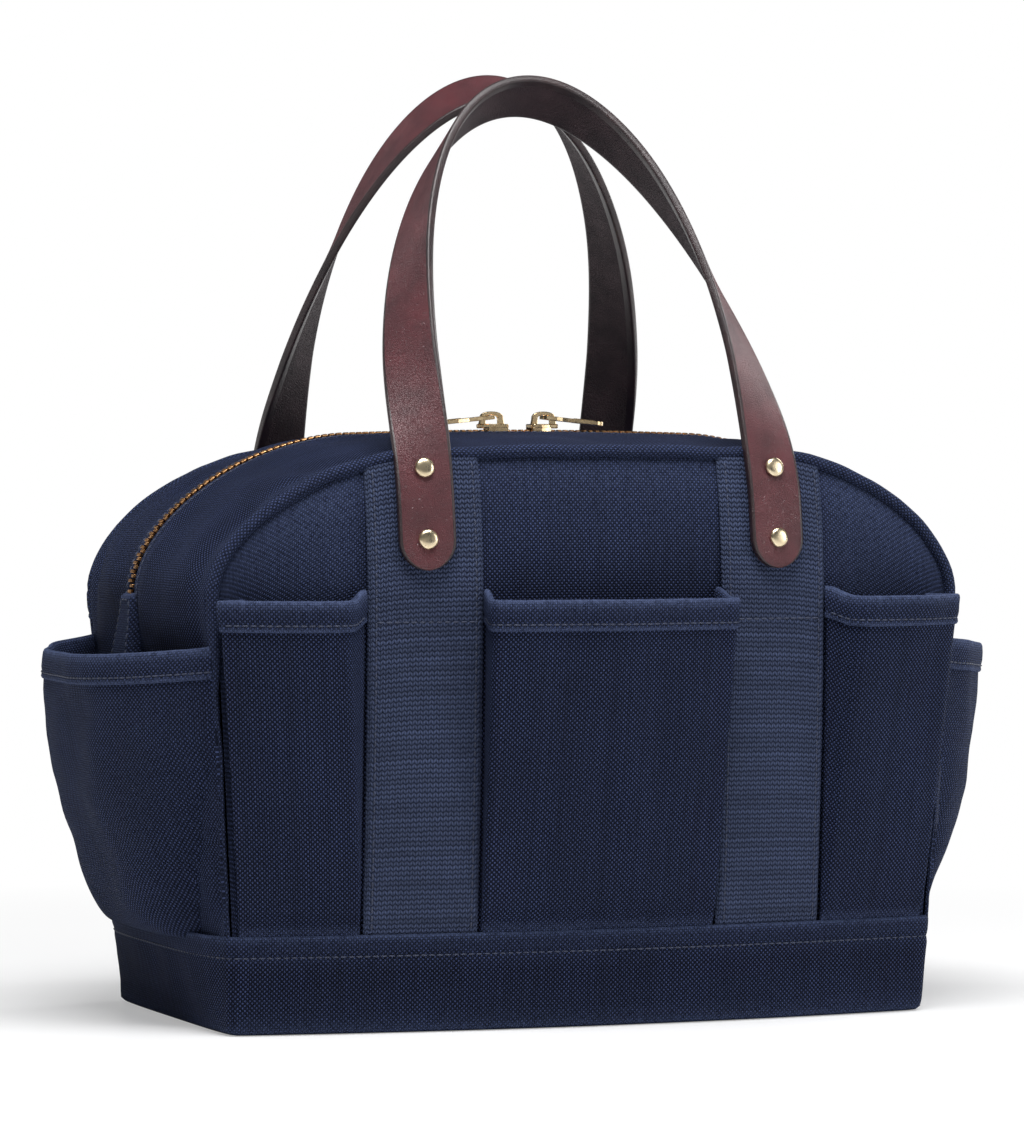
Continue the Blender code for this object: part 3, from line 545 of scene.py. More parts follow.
# %% Leather grain
leather_grain, tree, source, target = start_group(
    "leather_grain",
    {"Place": ("vector", (0, 0, 0)), "Pore size": ("value", 0.8 * MM)},
    {"Height": "value", "Cloud": "value", "Pore": "value"},
)
pore_scale = tree.math("DIVIDE", 1.0, source["Pore size"])
cells = tree.add(
    "TexVoronoi", {"Vector": source["Place"], "Scale": pore_scale}, feature="DISTANCE_TO_EDGE"
).outputs["Distance"]
pore = tree.remap(cells, 0.0, 0.12)
fine = tree.noise(source["Place"], 2600.0, 3.0, 0.6)
cloud = tree.noise(source["Place"], 55.0, 4.0, 0.6)
tree.feed(tree.math("MULTIPLY_ADD", fine, 0.5, pore), target["Height"])
tree.feed(cloud, target["Cloud"])
tree.feed(pore, target["Pore"])


def leather(name, deep, light, roughness, relief, coat, pore_size):
    finish, tree, shader = start_material(name)
    place = tree.add("UVMap", uv_map="cloth").outputs["UV"]
    skin = use_group(tree, leather_grain, {"Place": place, "Pore size": pore_size})
    colour = tree.blend(tree.remap(skin["Cloud"], 0.3, 0.7), (*deep, 1), (*light, 1))
    colour = tree.blend(tree.remap(skin["Pore"], 0, 1, 0.6, 0.0), colour, (*deep, 1))
    tree.feed(colour, shader.inputs["Base Color"])
    uneven = tree.remap(skin["Cloud"], 0.3, 0.7, roughness + 0.06, roughness - 0.05)
    tree.feed(uneven, shader.inputs["Roughness"])
    shader.inputs["Coat Weight"].default_value = coat
    shader.inputs["Coat Roughness"].default_value = 0.32
    emboss(tree, shader, skin["Height"], 0.8, relief)
    return finish


grain_side = leather(
    "leather_grain_side", (0.062, 0.015, 0.020), (0.140, 0.034, 0.042),
    roughness=0.42, relief=0.34 * MM, coat=0.05, pore_size=0.8 * MM,
)
flesh_side = leather(
    "leather_flesh_side", (0.018, 0.009, 0.013), (0.055, 0.027, 0.034),
    roughness=0.70, relief=0.35 * MM, coat=0.0, pore_size=1.3 * MM,
)
cut_edge = leather(
    "leather_cut_edge", (0.012, 0.006, 0.008), (0.040, 0.018, 0.020),
    roughness=0.38, relief=0.06 * MM, coat=0.3, pore_size=0.7 * MM,
)

# %% [markdown]
# Brass starts bright and dulls unevenly. A little noise in its roughness and colour shows hand marks, and
# very fine scratches catch the light. The slider, rivet and tooth brasses differ only in tone and polish, so
# one function makes all three.


# %% Brass
def brass(name, bright, dull, low_roughness, high_roughness):
    finish, tree, shader = start_material(name)
    place = tree.add("TexCoord").outputs["Object"]
    marks = tree.noise(place, 260.0, 4.0, 0.6)
    scratch = tree.noise(tree.vector("MULTIPLY", place, (400.0, 3500.0, 900.0)), 1.0, 2.0)
    share = tree.remap(marks, 0.35, 0.65)
    tree.feed(tree.blend(share, (*bright, 1), (*dull, 1)), shader.inputs["Base Color"])
    tree.feed(tree.remap(marks, 0.35, 0.65, low_roughness, high_roughness), shader.inputs["Roughness"])
    shader.inputs["Metallic"].default_value = 1.0
    emboss(tree, shader, scratch, 0.15, 0.02 * MM)
    return finish


rivet_brass = brass("rivet_brass", (0.88, 0.76, 0.54), (0.78, 0.64, 0.42), 0.22, 0.36)
slider_brass = brass("slider_brass", (0.93, 0.74, 0.46), (0.82, 0.60, 0.34), 0.16, 0.30)
teeth_brass = brass("teeth_brass", (0.52, 0.29, 0.13), (0.30, 0.16, 0.07), 0.28, 0.5)

# %% Stiff board for the base
board_finish, tree, shader = start_material("board_fibre")
place = tree.add("TexCoord").outputs["Object"]
fibres = tree.noise(tree.vector("MULTIPLY", place, (900.0, 120.0, 300.0)), 1.0, 4.0)
tree.feed(tree.blend(fibres, (0.06, 0.045, 0.035, 1), (0.15, 0.12, 0.09, 1)), shader.inputs["Base Color"])
shader.inputs["Roughness"].default_value = 0.9

# %% [markdown]
# ## The studio floor
#
# A matt white floor with a slight sheen gives the soft shadow and the faint reflection under the bag. A
# little way out it turns into pure white, so that no horizon shows behind the bag.

# %% Floor
FLOOR_HALF = 30.0
FLOOR_GLOW = 0.36
WHITE_FROM = 0.30
WHITE_BY = 0.75
floor_mesh = bpy.data.meshes.new("studio_floor")
corners = [(x * FLOOR_HALF, y * FLOOR_HALF, 0) for x, y in ((-1, -1), (1, -1), (1, 1), (-1, 1))]
floor_mesh.from_pydata(corners, [], [(0, 1, 2, 3)])
floor = bpy.data.objects.new("studio_floor", floor_mesh)
scene.collection.objects.link(floor)
floor_finish, tree, shader = start_material("studio_floor")
place = tree.add("TexCoord").outputs["Object"]
shade = tree.noise(place, 3.0, 2.0)
tree.feed(tree.blend(shade, (0.90, 0.90, 0.905, 1), (0.93, 0.93, 0.935, 1)), shader.inputs["Base Color"])
distance = tree.add("VectorMath", {0: place}, operation="LENGTH").outputs["Value"]
white = tree.add("Emission", {"Color": (1, 1, 1, 1), "Strength": 1.0}).outputs[0]
whiter = tree.remap(distance, WHITE_FROM, WHITE_BY)
paper = tree.add("MixShader", {0: whiter, 1: shader.outputs[0], 2: white}).outputs[0]
tree.feed(paper, floor_finish.node_tree.nodes["Material Output"].inputs["Surface"])
shader.inputs["Roughness"].default_value = 0.24
shader.inputs["Specular IOR Level"].default_value = 0.35
shader.inputs["Emission Color"].default_value = (1, 1, 1, 1)
seen_directly = tree.add("LightPath").outputs["Is Camera Ray"]
tree.feed(tree.math("MULTIPLY", seen_directly, FLOOR_GLOW), shader.inputs["Emission Strength"])
floor_mesh.materials.append(floor_finish)

# %% [markdown]
# ## Making cloth from a grid of points
#
# Sewn cloth is easiest to describe as rows of points on its outer face. This function joins such rows into
# a mesh, measures the distances between the points for the UV map, turns the faces outward, and adds the
# cloth's thickness on the inside with a Solidify modifier. The UV map is in metres, so that every weave has
# its real size. The alternative, an unwrap, would stretch the threads on curved pieces.

# %% Cloth from rows of points
CENTRE = Vector((0, 0, 120 * MM))


def finish_piece(name, mesh, finishes, body, replaced=()):
    obj = bpy.data.objects.new(name, mesh)
    scene.collection.objects.link(obj)
    for finish in finishes:
        mesh.materials.append(finish)
    mesh.shade_smooth()
    if body:
        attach(obj, body)
    if replaced:
        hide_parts(*replaced)
    return obj


def grid_mesh(name, rows, loop=False, outward_from=CENTRE):
    """Mesh through rows of points. With loop, each row closes on itself."""
    points = np.array([[tuple(point) for point in row] for row in rows])
    count, width = points.shape[:2]
    wrapped = np.concatenate([points, points[:, :1]], axis=1) if loop else points
    steps_across = np.linalg.norm(np.diff(wrapped, axis=1), axis=2)
    across = np.concatenate([np.zeros((count, 1)), np.cumsum(steps_across, axis=1)], axis=1)
    across -= across[:, -1:] / 2
    steps_along = np.linalg.norm(np.diff(points, axis=0), axis=2).mean(axis=1)
    along = np.concatenate([[0], np.cumsum(steps_along)])
    faces, uvs = [], []
    for i in range(count - 1):
        for j in range(width if loop else width - 1):
            after = (j + 1) % width
            faces.append((i * width + j, i * width + after, (i + 1) * width + after, (i + 1) * width + j))
            uvs += [
                (across[i, j], along[i]), (across[i, j + 1], along[i]),
                (across[i + 1, j + 1], along[i + 1]), (across[i + 1, j], along[i + 1]),
            ]
    mesh = bpy.data.meshes.new(name)
    mesh.from_pydata(points.reshape(-1, 3).tolist(), [], faces)
    layer = mesh.uv_layers.new(name="cloth")
    layer.data.foreach_set("uv", np.array(uvs, np.float32).reshape(-1))
    centres = np.empty(len(mesh.polygons) * 3)
    normals = np.empty(len(mesh.polygons) * 3)
    mesh.polygons.foreach_get("center", centres)
    mesh.polygons.foreach_get("normal", normals)
    towards = centres.reshape(-1, 3) - np.array(outward_from)
    if (normals.reshape(-1, 3) * towards).sum() < 0:
        mesh.flip_normals()
    return mesh


def paint_worn(mesh, amount):
    """Stores how faded the cloth is at each point: amount(point) gives 0 to 1."""
    layer = mesh.attributes.new("worn", "FLOAT", "POINT")
    values = [min(max(amount(vert.co), 0), 1) for vert in mesh.vertices]
    layer.data.foreach_set("value", np.array(values, np.float32))


def paint_worn_rows(mesh, amounts):
    """Stores one fading value for each row of a grid."""
    layer = mesh.attributes.new("worn", "FLOAT", "POINT")
    values = np.repeat(np.array(amounts, np.float32), len(mesh.vertices) // len(amounts))
    layer.data.foreach_set("value", values)


def thicken(obj, thickness):
    wall = obj.modifiers.new("cloth_thickness", "SOLIDIFY")
    wall.thickness = thickness
    wall.offset = -1


def neighbours(line, index):
    """The points before and after one point of a line. At an end, that end stands in for the missing one."""
    return line[max(index - 1, 0)], line[min(index + 1, len(line) - 1)]


def round_corners(points, radius, steps=4):
    """A line of 2-D points with each inner corner rounded by a short curve."""
    line = [Vector(points[0])]
    for before, corner, after in zip(points, points[1:], points[2:]):
        before, corner, after = Vector(before), Vector(corner), Vector(after)
        into = (before - corner).normalized() * min(radius, (before - corner).length * 0.45)
        out = (after - corner).normalized() * min(radius, (after - corner).length * 0.45)
        for share in spread(0, 1, steps):
            start, stop = corner + into * (1 - share), corner + out * share
            line.append(start.lerp(stop, share))
    line.append(Vector(points[-1]))
    return line


def resample(line, count):
    """count + 1 points at even distances along a line of points."""
    line = [Vector(point) for point in line]
    travelled = [0.0]
    for a, b in zip(line, line[1:]):
        travelled.append(travelled[-1] + (b - a).length)
    places = np.linspace(0, travelled[-1], count + 1)
    columns = [np.interp(places, travelled, [point[axis] for point in line]) for axis in range(len(line[0]))]
    return [Vector(values) for values in zip(*columns)]


# %% [markdown]
# ## Stitches
#
# Seams hold a bag together, and rows of stitches are much of its look. Each stitch is a small rounded bar
# that dives into the cloth at both ends. All the stitches of one seam go into one mesh, which is cheap.
# The row follows a line of points, each with the direction that stands up from the cloth there.

# %% Stitches along a line
STITCH = 3.0 * MM
STITCH_GAP = 0.55 * MM
THREAD_RADIUS = 0.36 * MM
THREAD_LIFT = 0.1 * MM
THREAD_SIDES = 6
# Rings of one stitch: share of its length, width and height of the ring's middle, both in thread radii.
STITCH_RINGS = ((0, 0.5, -0.9), (0.18, 1, 0.1), (0.5, 1.1, 0.45), (0.82, 1, 0.1), (1, 0.5, -0.9))


class Seam:
    """Collects rows of stitches into one mesh."""

    def __init__(self, name):
        self.name, self.points, self.faces, self.uvs = name, [], [], []

    def add(self, line, ups):
        """Sews along a line of points. ups points away from the cloth at each of them."""
        joined = [tuple(point) + tuple(up) for point, up in zip(line, ups)]
        travelled = [0.0]
        for a, b in zip(line, line[1:]):
            travelled.append(travelled[-1] + (Vector(b) - Vector(a)).length)
        total = travelled[-1]
        columns = [[row[axis] for row in joined] for axis in range(6)]
        count = max(int(total / (STITCH + STITCH_GAP)), 1)
        step = total / count

        def at(place):
            values = [float(np.interp(place, travelled, column)) for column in columns]
            return Vector(values[:3]), Vector(values[3:]).normalized()

        for stitch in range(count):
            start = stitch * step + STITCH_GAP / 2
            stop = (stitch + 1) * step - STITCH_GAP / 2
            (head, up), (tail, _) = at(start), at(stop)
            along = (tail - head).normalized()
            side = along.cross(up).normalized()
            first = len(self.points)
            for share, wide, high in STITCH_RINGS:
                middle = head.lerp(tail, share) + up * (THREAD_LIFT + high * THREAD_RADIUS)
                for turn in range(THREAD_SIDES):
                    angle = math.tau * turn / THREAD_SIDES
                    offset = side * math.cos(angle) + up * math.sin(angle)
                    self.points.append(tuple(middle + offset * THREAD_RADIUS * wide))
            for ring in range(len(STITCH_RINGS) - 1):
                for turn in range(THREAD_SIDES):
                    after = (turn + 1) % THREAD_SIDES
                    a, b = (first + ring * THREAD_SIDES + place for place in (turn, after))
                    self.faces.append((a, b, b + THREAD_SIDES, a + THREAD_SIDES))
                    for u, v in ((turn, ring), (turn + 1, ring), (turn + 1, ring + 1), (turn, ring + 1)):
                        self.uvs.append((start + v * STITCH / 4, u * 0.4 * MM))

    def build(self, body="root"):
        mesh = bpy.data.meshes.new(self.name)
        mesh.from_pydata(self.points, [], self.faces)
        layer = mesh.uv_layers.new(name="cloth")
        layer.data.foreach_set("uv", np.array(self.uvs, np.float32).reshape(-1))
        return finish_piece(self.name, mesh, [thread], body)


# %% Round piping along a line
def tube_mesh(name, line, ups, radius_up, radius_side, sides, swell):
    """A tube of oval section along a line. ups points along radius_up, and swell scales the tube along it."""
    rows = []
    for index, (point, up) in enumerate(zip(line, ups)):
        behind, ahead = neighbours(line, index)
        along = (ahead - behind).normalized()
        side = along.cross(up).normalized()
        up = side.cross(along).normalized()
        ring = []
        for turn in range(sides):
            angle = math.tau * turn / sides
            reach = up * math.cos(angle) * radius_up + side * math.sin(angle) * radius_side
            ring.append(point + reach * swell[index])
        rows.append(ring)
    mesh = grid_mesh(name, rows, loop=True)
    first = mesh.polygons[0]
    if (first.center - line[0]).dot(first.normal) < 0:
        mesh.flip_normals()
    return mesh

# %% [markdown]
# ## Front and back panels
#
# Each panel is one cut of canvas with an arched top. It bulges in the middle, because the bag is full of
# air and its cloth is stiff. Slack cloth is never quite even, so the panel gets a few shallow hollows that
# fade out towards its seams. The hollows only go inward, which keeps the straps and pockets lying on it.

# %% Panels
PANEL_START = 2.7 * MM
PANEL_WALL = 1.6 * MM


def panel_rows(face):
    rows = []
    for share in spread(0, 1, 46):
        row = []
        for column in spread(-1, 1, 64):
            across = math.sin(math.pi / 2 * column) * 0.9 + column * 0.1
            z = mix(PANEL_START, arch_height(across * SHOULDER_WIDTH / 2), share)
            x = across * half_width(z) * 0.992
            inside = ease((1 - abs(column)) / 0.25) * ease((1 - share) / 0.2)
            hollow = ripple((x, z, face), 75 * MM, 3.1) * 1.6 + ripple((x, z * 1.4, face), 28 * MM, 8.2) * 0.8
            row.append(panel_point(x, z, (hollow - 0.9) * inside * MM, face))
        rows.append(row)
    return rows


def panel_paleness(point):
    """Canvas fades along the shoulders, where it stands proud, and along its rim and edges. It is also paler
    towards the top.
    """
    rim = 1 - ease((arch_height(point.x) - point.z) / (26 * MM))
    edge = 1 - ease((half_width(point.z) - abs(point.x)) / (16 * MM))
    # Paler towards the top.
    upper = ease((point.z - 160 * MM) / (80 * MM))
    shoulder = ease((abs(point.x) - 95 * MM) / (30 * MM)) * ease((point.z - 170 * MM) / (30 * MM))
    return 0.12 * max(rim, edge) + 0.14 * upper + 0.14 * shoulder


for name, face in FACES.items():
    mesh = grid_mesh(name + "_canvas_panel", panel_rows(face))
    paint_worn(mesh, panel_paleness)
    panel = finish_piece(mesh.name, mesh, [canvas], "root", [name + "_panel"])
    thicken(panel, PANEL_WALL)
print("two panels of", len(mesh.polygons), "faces each")

# %% [markdown]
# ## Roof, ends and the rolled seam
#
# The cloth that runs over the arch is sewn to both panels. Above the ends of the zip it is two strips, one
# on each side of the zip. In the middle, those strips part when the zip is opened, and the mouth opens as a
# lens.
#
# Along both seams the roof's cloth rolls over the edge of the panel, like piping. That is a tube of the
# same canvas that follows the arch.

# %% The roof cloth beside the zip
TEETH_LIFT = 0.9 * MM
ZIP_FOLD = 4.6 * MM
ROOF_WALL = 1.4 * MM
ROLL_LIFT = 2.9 * MM
ROLL_REACH = 9 * MM
ROOF_START = 156 * MM
ROOF_PATH = arch_path(ROOF_START, 156)


def bend_with_flap(obj):
    """Bakes the piece's placement into its mesh."""
    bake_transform(obj)


def roof_relief(x, z, y):
    """Soft folds of the roof cloth. It is pulled flat at the zip and at the seam."""
    edge = gusset_edge(x, z)
    free = ease((abs(y) - ZIP_FOLD) / (16 * MM)) * ease((edge - abs(y)) / (14 * MM))
    shoulder = ease((abs(x) - 95 * MM) / (50 * MM))
    wide = ripple((x * 1.2, z * 1.2, y), 42 * MM, 5.5)
    narrow = ripple((x, z, y * 0.6), 17 * MM, 1.3)
    sag = -2.2 * (1 - shoulder * 0.4)
    pucker = ripple((x, z, 0), 9 * MM, 2.2) * 0.8 * ease((abs(y) - edge + 16 * MM) / (8 * MM))
    folds = wide * mix(2.4, 6.0, shoulder) + narrow * mix(0.6, 1.8, shoulder) + sag * 0.5
    return (free * folds + pucker) * MM


def roof_rows(face):
    rows = []
    shares = [ease(share) * 0.45 + share * 0.55 for share in spread(0, 1, 26)]
    for x, z in ROOF_PATH:
        edge = gusset_edge(x, z) + 0.6 * MM
        turned_under = ((5 * MM, -2.0 * MM), (0.6 * MM, -1.2 * MM))
        row = [gusset_point(x, z, face * (ZIP_FOLD + reach), lift) for reach, lift in turned_under]
        for share in shares:
            y = mix(ZIP_FOLD, edge, share)
            fold = 0.4 * MM * (1 - ease((y - ZIP_FOLD) / (5 * MM)))
            climb = ROLL_LIFT * ease((y - edge + ROLL_REACH) / ROLL_REACH)
            row.append(gusset_point(x, z, face * y, roof_relief(x, z, face * y) + fold + climb))
        rows.append(row)
    return rows


def roof_worn(point):
    fold = 1 - ease((abs(point.y) - ZIP_FOLD - 1 * MM) / (4 * MM))
    seam = 1 - ease((gusset_edge(point.x, point.z) - abs(point.y)) / (14 * MM))
    return 0.22 * fold + 0.12 * seam


for name, face in FACES.items():
    mesh = grid_mesh(name + "_roof_cloth", roof_rows(face))
    paint_worn(mesh, roof_worn)
    nodes = [name + "_top_gusset", name + "_flap"]
    roof = finish_piece(mesh.name, mesh, [canvas], None, nodes)
    thicken(roof, ROOF_WALL)
    bend_with_flap(roof)
print("roof cloth:", len(ROOF_PATH), "rows of points on each side of the zip")


# %% The cloth of the two ends
END_WALL = 1.6 * MM


def end_rows(side):
    rows = []
    for share in spread(0, 1, 40):
        z = mix(PANEL_START, ROOF_START + 4 * MM, share)
        x = side * half_width(z)
        edge = gusset_edge(x, z)
        row = []
        for column in spread(-1, 1, 48):
            y = edge * column
            free = ease((1 - abs(column)) / 0.3) * ease(share / 0.2)
            fold = ripple((y, z, side), 48 * MM, 2.4) * 2.4 + ripple((y, z * 0.5, side), 20 * MM, 7.7) * 1.0
            row.append(gusset_point(x, z, y, (fold - 0.6) * free * MM))
        rows.append(row)
    return rows


for name, side in SIDES.items():
    mesh = grid_mesh(name + "_end_cloth", end_rows(side))
    paint_worn(mesh, lambda point: 0.1)
    end_cloth = finish_piece(mesh.name, mesh, [canvas], "root", [name + "_end_gusset"])
    thicken(end_cloth, END_WALL)

# %% The rolled seams
ROLL_UP = 2.9 * MM
ROLL_SIDE = 3.2 * MM
SEAM_PATH = arch_path(BAND_HEIGHT - 2 * MM, 190)


def seam_line(face, lift, out):
    line, ups = [], []
    for x, z in SEAM_PATH:
        normal = arch_normal(x, z)
        wobble = (ripple((x, z, face), 24 * MM, 9.1) * 0.6 + ripple((x, z, face), 9 * MM, 3.1) * 0.3) * MM
        spot = Vector((x, face * (panel_depth(x, z) + out), z)) + normal * (lift + wobble)
        line.append(spot)
        ups.append(normal)
    return line, ups


for name, face in FACES.items():
    line, ups = seam_line(face, 0.5 * MM, -0.2 * MM)
    swell = [mix(0.3, 1, ease((point.z - 135 * MM) / (45 * MM))) for point in line]
    mesh = tube_mesh(name + "_rolled_seam", line, ups, ROLL_UP, ROLL_SIDE, 14, swell)
    paint_worn(mesh, lambda point: 0.16)
    finish_piece(mesh.name, mesh, [canvas], "root")
print("rolled seams along", len(SEAM_PATH), "points")

# %% [markdown]
# ## Base band and bottom
#
# A band of doubled canvas wraps the foot of the bag and takes the wear. Its top edge is folded in and sewn
# down with a row of stitches, over the lower ends of the pockets and the webbing. It is one closed loop:
# rows of points go round the plan of the bag at several heights, and the lowest ones curl under onto the
# flat bottom.


# %% Plan of the bag
def plan_outline(z, offset, per_side=26, per_end=20):
    """Closed loop round the bag at height z, offset outward, with rounded corners."""
    width, depth = half_width(z), corner_depth(z)
    quarter = [panel_point(width * 0.965 * share, z, offset, 1) for share in spread(0, 1, per_side)]
    start = panel_normal(width, z, 1)
    for turn in spread(0, 1, 6)[1:]:
        direction = start.lerp(Vector((1, 0, 0)), turn).normalized()
        corner = Vector((width - 3 * MM, depth - 3 * MM, z))
        quarter.append(corner + direction * (offset + 3 * MM))
    full = mix(BASE_SWELL, TOP_SWELL, min(z / BAND_HEIGHT, 1))
    for share in spread(0.9, 0, per_end // 2):
        out = full * (1 - share**SWELL_POWER)
        quarter.append(Vector((width + out + offset, depth * share, z)))
    loop = [(p.x, p.y) for p in quarter]
    loop += [(p.x, -p.y) for p in reversed(quarter[:-1])]
    loop += [(-p.x, -p.y) for p in quarter[1:]]
    loop += [(-p.x, p.y) for p in reversed(quarter[1:-1])]
    return [Vector((x, y, z)) for x, y in loop]


# %% Base band
# Section of the band from the floor up and over its folded edge, in mm: height, offset outward, fading.
BAND_SECTION = (
    (0.0, -7.0, 0.35), (0.0, -2.5, 0.35), (0.5, 0.6, 0.4), (2.0, 2.3, 0.4), (5.0, 2.7, 0.16),
    (10.0, 2.6, 0.06), (16.0, 2.5, 0.04), (22.0, 2.5, 0.02), (27.0, 2.5, 0.02), (31.0, 2.6, 0.05),
    (33.2, 2.3, 0.10), (33.8, 1.9, 0.14), (34.4, 2.3, 0.12), (36.5, 2.7, 0.12), (39.5, 2.8, 0.14),
    (41.6, 2.7, 0.3), (42.8, 2.2, 0.6), (43.2, 1.2, 0.6), (42.4, 0.5, 0.4), (36.0, 0.3, 0.1),
)
band_rows = []
for z, offset, _ in BAND_SECTION:
    row = []
    for point in plan_outline(z * MM, offset * MM):
        middle = ease(z / 8) * ease((40 - z) / 12)
        on_end = ease((abs(point.x) - 150 * MM) / (12 * MM))
        wave = ripple(point, 60 * MM, 4.4) * 1.1 + ripple(point, 21 * MM, 6.0) * mix(0.4, 1.5, on_end)
        outward = Vector((point.x, point.y * 2, 0)).normalized()
        row.append(point + outward * wave * middle * MM)
    band_rows.append(row)
mesh = grid_mesh("base_band_canvas", band_rows, loop=True)
paint_worn_rows(mesh, [worn for _, _, worn in BAND_SECTION])
finish_piece(mesh.name, mesh, [band_canvas], "root", ["base_band"])

# %% Stitch row on the band
seam = Seam("base_band_stitches")
BAND_STITCHES = 33.8 * MM
loop = plan_outline(BAND_STITCHES, 2.1 * MM)
loop.append(loop[0])
ups = [Vector((p.x, p.y * 2, 0)).normalized() for p in loop]
seam.add(loop, ups)
seam.build()

# %% Bottom
BOTTOM_LIFT = 0.3 * MM
rim = plan_outline(0, -5 * MM)
rows = [[Vector((p.x * share, p.y * share, BOTTOM_LIFT)) for p in rim] for share in spread(0.02, 1, 8)]
mesh = grid_mesh("bottom_canvas", rows, loop=True, outward_from=Vector((0, 0, 1)))
paint_worn(mesh, lambda point: 0.15)
bottom = finish_piece(mesh.name, mesh, [band_canvas], "root", ["bottom_panel"])
thicken(bottom, PANEL_WALL)


def refinish(node, finish):
    """Gives a solid of the frame that stays in the picture its own finish."""
    materials = frame["nodes"][node].data.materials
    materials.clear()
    materials.append(finish)


refinish("base_board", board_finish)
print("band of", len(band_rows), "rows; the bottom is flat on the floor")

# %% [markdown]
# ## Pockets on the front and back
#
# Each face has three pockets that stand off the bag at the mouth and lie flat at the foot, so their sides
# fold back like a bellows. A pocket is described by its outline seen from above, at every height: from one
# side seam out to a corner, along the front, round the other corner and back. Its corners are rounded,
# because folded canvas never makes a sharp edge, and its front bows and ripples a little.
#
# The mouth is a hem. The cloth is folded over twice and sewn down near its lower edge, so the hem is a
# thicker strip that follows the same outline and turns in over the top.

# %% Pocket shapes
POCKET_SKIN = 2.5 * MM
POCKET_WALL = 1.4 * MM
POCKET_STAND = 16 * MM
POCKET_BOW = 5 * MM
POCKET_OVERHANG = 1.5 * MM
CORNER_STAND = 6 * MM
SIDE_STAND = 15 * MM
SIDE_PLEAT = 11 * MM
SIDE_CLIMB = 4 * MM
STRAP_SEAM_GAP = 1.2 * MM
INNER_FOOT = (WEBBING_SPACING - WEBBING_WIDTH) / 2 - STRAP_SEAM_GAP
OUTER_FOOT = (WEBBING_SPACING + WEBBING_WIDTH) / 2 + STRAP_SEAM_GAP
CORNER_FOOT = BASE_WIDTH / 2 - 1 * MM
CORNER_REACH = SHOULDER_WIDTH / 2 - CORNER_FOOT

# Each pocket: its two foot lines, how far its two mouth corners stand out, and how far they reach past
# the feet.
POCKETS = {
    "centre": (-INNER_FOOT, INNER_FOOT, (POCKET_STAND, POCKET_STAND), (POCKET_OVERHANG, POCKET_OVERHANG)),
    "left": (-CORNER_FOOT, -OUTER_FOOT, (CORNER_STAND, SIDE_STAND), (CORNER_REACH, -SIDE_PLEAT)),
    "right": (OUTER_FOOT, CORNER_FOOT, (SIDE_STAND, CORNER_STAND), (-SIDE_PLEAT, CORNER_REACH)),
}
POCKET_COLUMNS = 64


def offset_line(line, distance):
    """A 2-D line moved sideways by a distance, to the left of its direction."""
    moved = []
    for index, point in enumerate(line):
        behind, ahead = neighbours(line, index)
        along = (ahead - behind).normalized()
        moved.append(point + Vector((-along.y, along.x)) * distance)
    return moved


def pocket_line(kind, face, z, offset=0.0):
    """Outline of a pocket at height z, as (x, lift off the panel), moved outward by offset."""
    low, high, stands, reaches = POCKETS[kind]
    share = min(max((z - BAND_HEIGHT) / (POCKET_TOP - BAND_HEIGHT), 0), 1)
    skin = mix(1.6 * MM, POCKET_SKIN + 1 * MM, ease((z - BAND_HEIGHT) / (12 * MM)))
    out = [mix(0, stand, share) + skin for stand in stands]
    left, right = low - reaches[0] * share, high + reaches[1] * share
    corners = [(low, 0.5 * MM), (left, out[0]), (right, out[1]), (high, 0.5 * MM)]
    line = resample(round_corners(corners, mix(1.2, 3.6, share) * MM, 5), POCKET_COLUMNS)
    shaped = []
    for point in line:
        spot = min(max((point.x - left) / (right - left), 0), 1)
        middle = ease(spot / 0.3) * ease((1 - spot) / 0.3)
        bow = POCKET_BOW * share * (1 - (2 * spot - 1) ** 2) * ease(point.y / max(min(out), MM) * 1.2)
        fold = ripple((point.x * 1.5, z * 0.55, face * 7), 34 * MM, 11.3) * 3.2
        fold += ripple((point.x, z * 0.8, face), 15 * MM, 4.9) * 0.8
        shaped.append(Vector((point.x, point.y + bow + fold * middle * mix(0.25, 1.0, share) * MM)))
    return offset_line(shaped, offset)


def pocket_row(kind, face, z, offset=0.0):
    """The outline as points. Near the mouth its inner sides climb to the panel, as the front leans out."""
    share = max((z - BAND_HEIGHT) / (POCKET_TOP - BAND_HEIGHT), 0)
    row = []
    for point in pocket_line(kind, face, z, offset):
        at_seam = 1 - ease(point.y / (13 * MM))
        inner = 1 - ease((abs(point.x) - 115 * MM) / (20 * MM))
        climb = SIDE_CLIMB * share**2 * at_seam * inner
        row.append(panel_point(point.x, z + climb, max(point.y, 0.35 * MM), face))
    return row


# Section of a hem, from its lower edge up and over the mouth, in mm: height, offset outward, fading.
HEM_SECTION = (
    (-13.5, 0.05, 0.5), (-13.2, 0.75, 0.6), (-12.4, 1.15, 0.5), (-11.2, 0.95, 0.2), (-10.5, 0.70, 0.2),
    (-9.8, 0.95, 0.15), (-8.0, 1.25, 0.1), (-4.5, 1.25, 0.15), (-1.6, 1.15, 0.5), (-0.4, 0.75, 0.8),
    (0.1, 0.0, 0.8), (0.1, -0.9, 0.7), (-0.4, -1.8, 0.4), (-1.6, -2.3, 0.2), (-6.0, -2.4, 0.1),
    (-12.0, -2.3, 0.1),
)
HEM_WORN = [worn for _, _, worn in HEM_SECTION]
HEM_STITCHES = -10.5 * MM
HEM_STITCH_OUT = 0.75 * MM


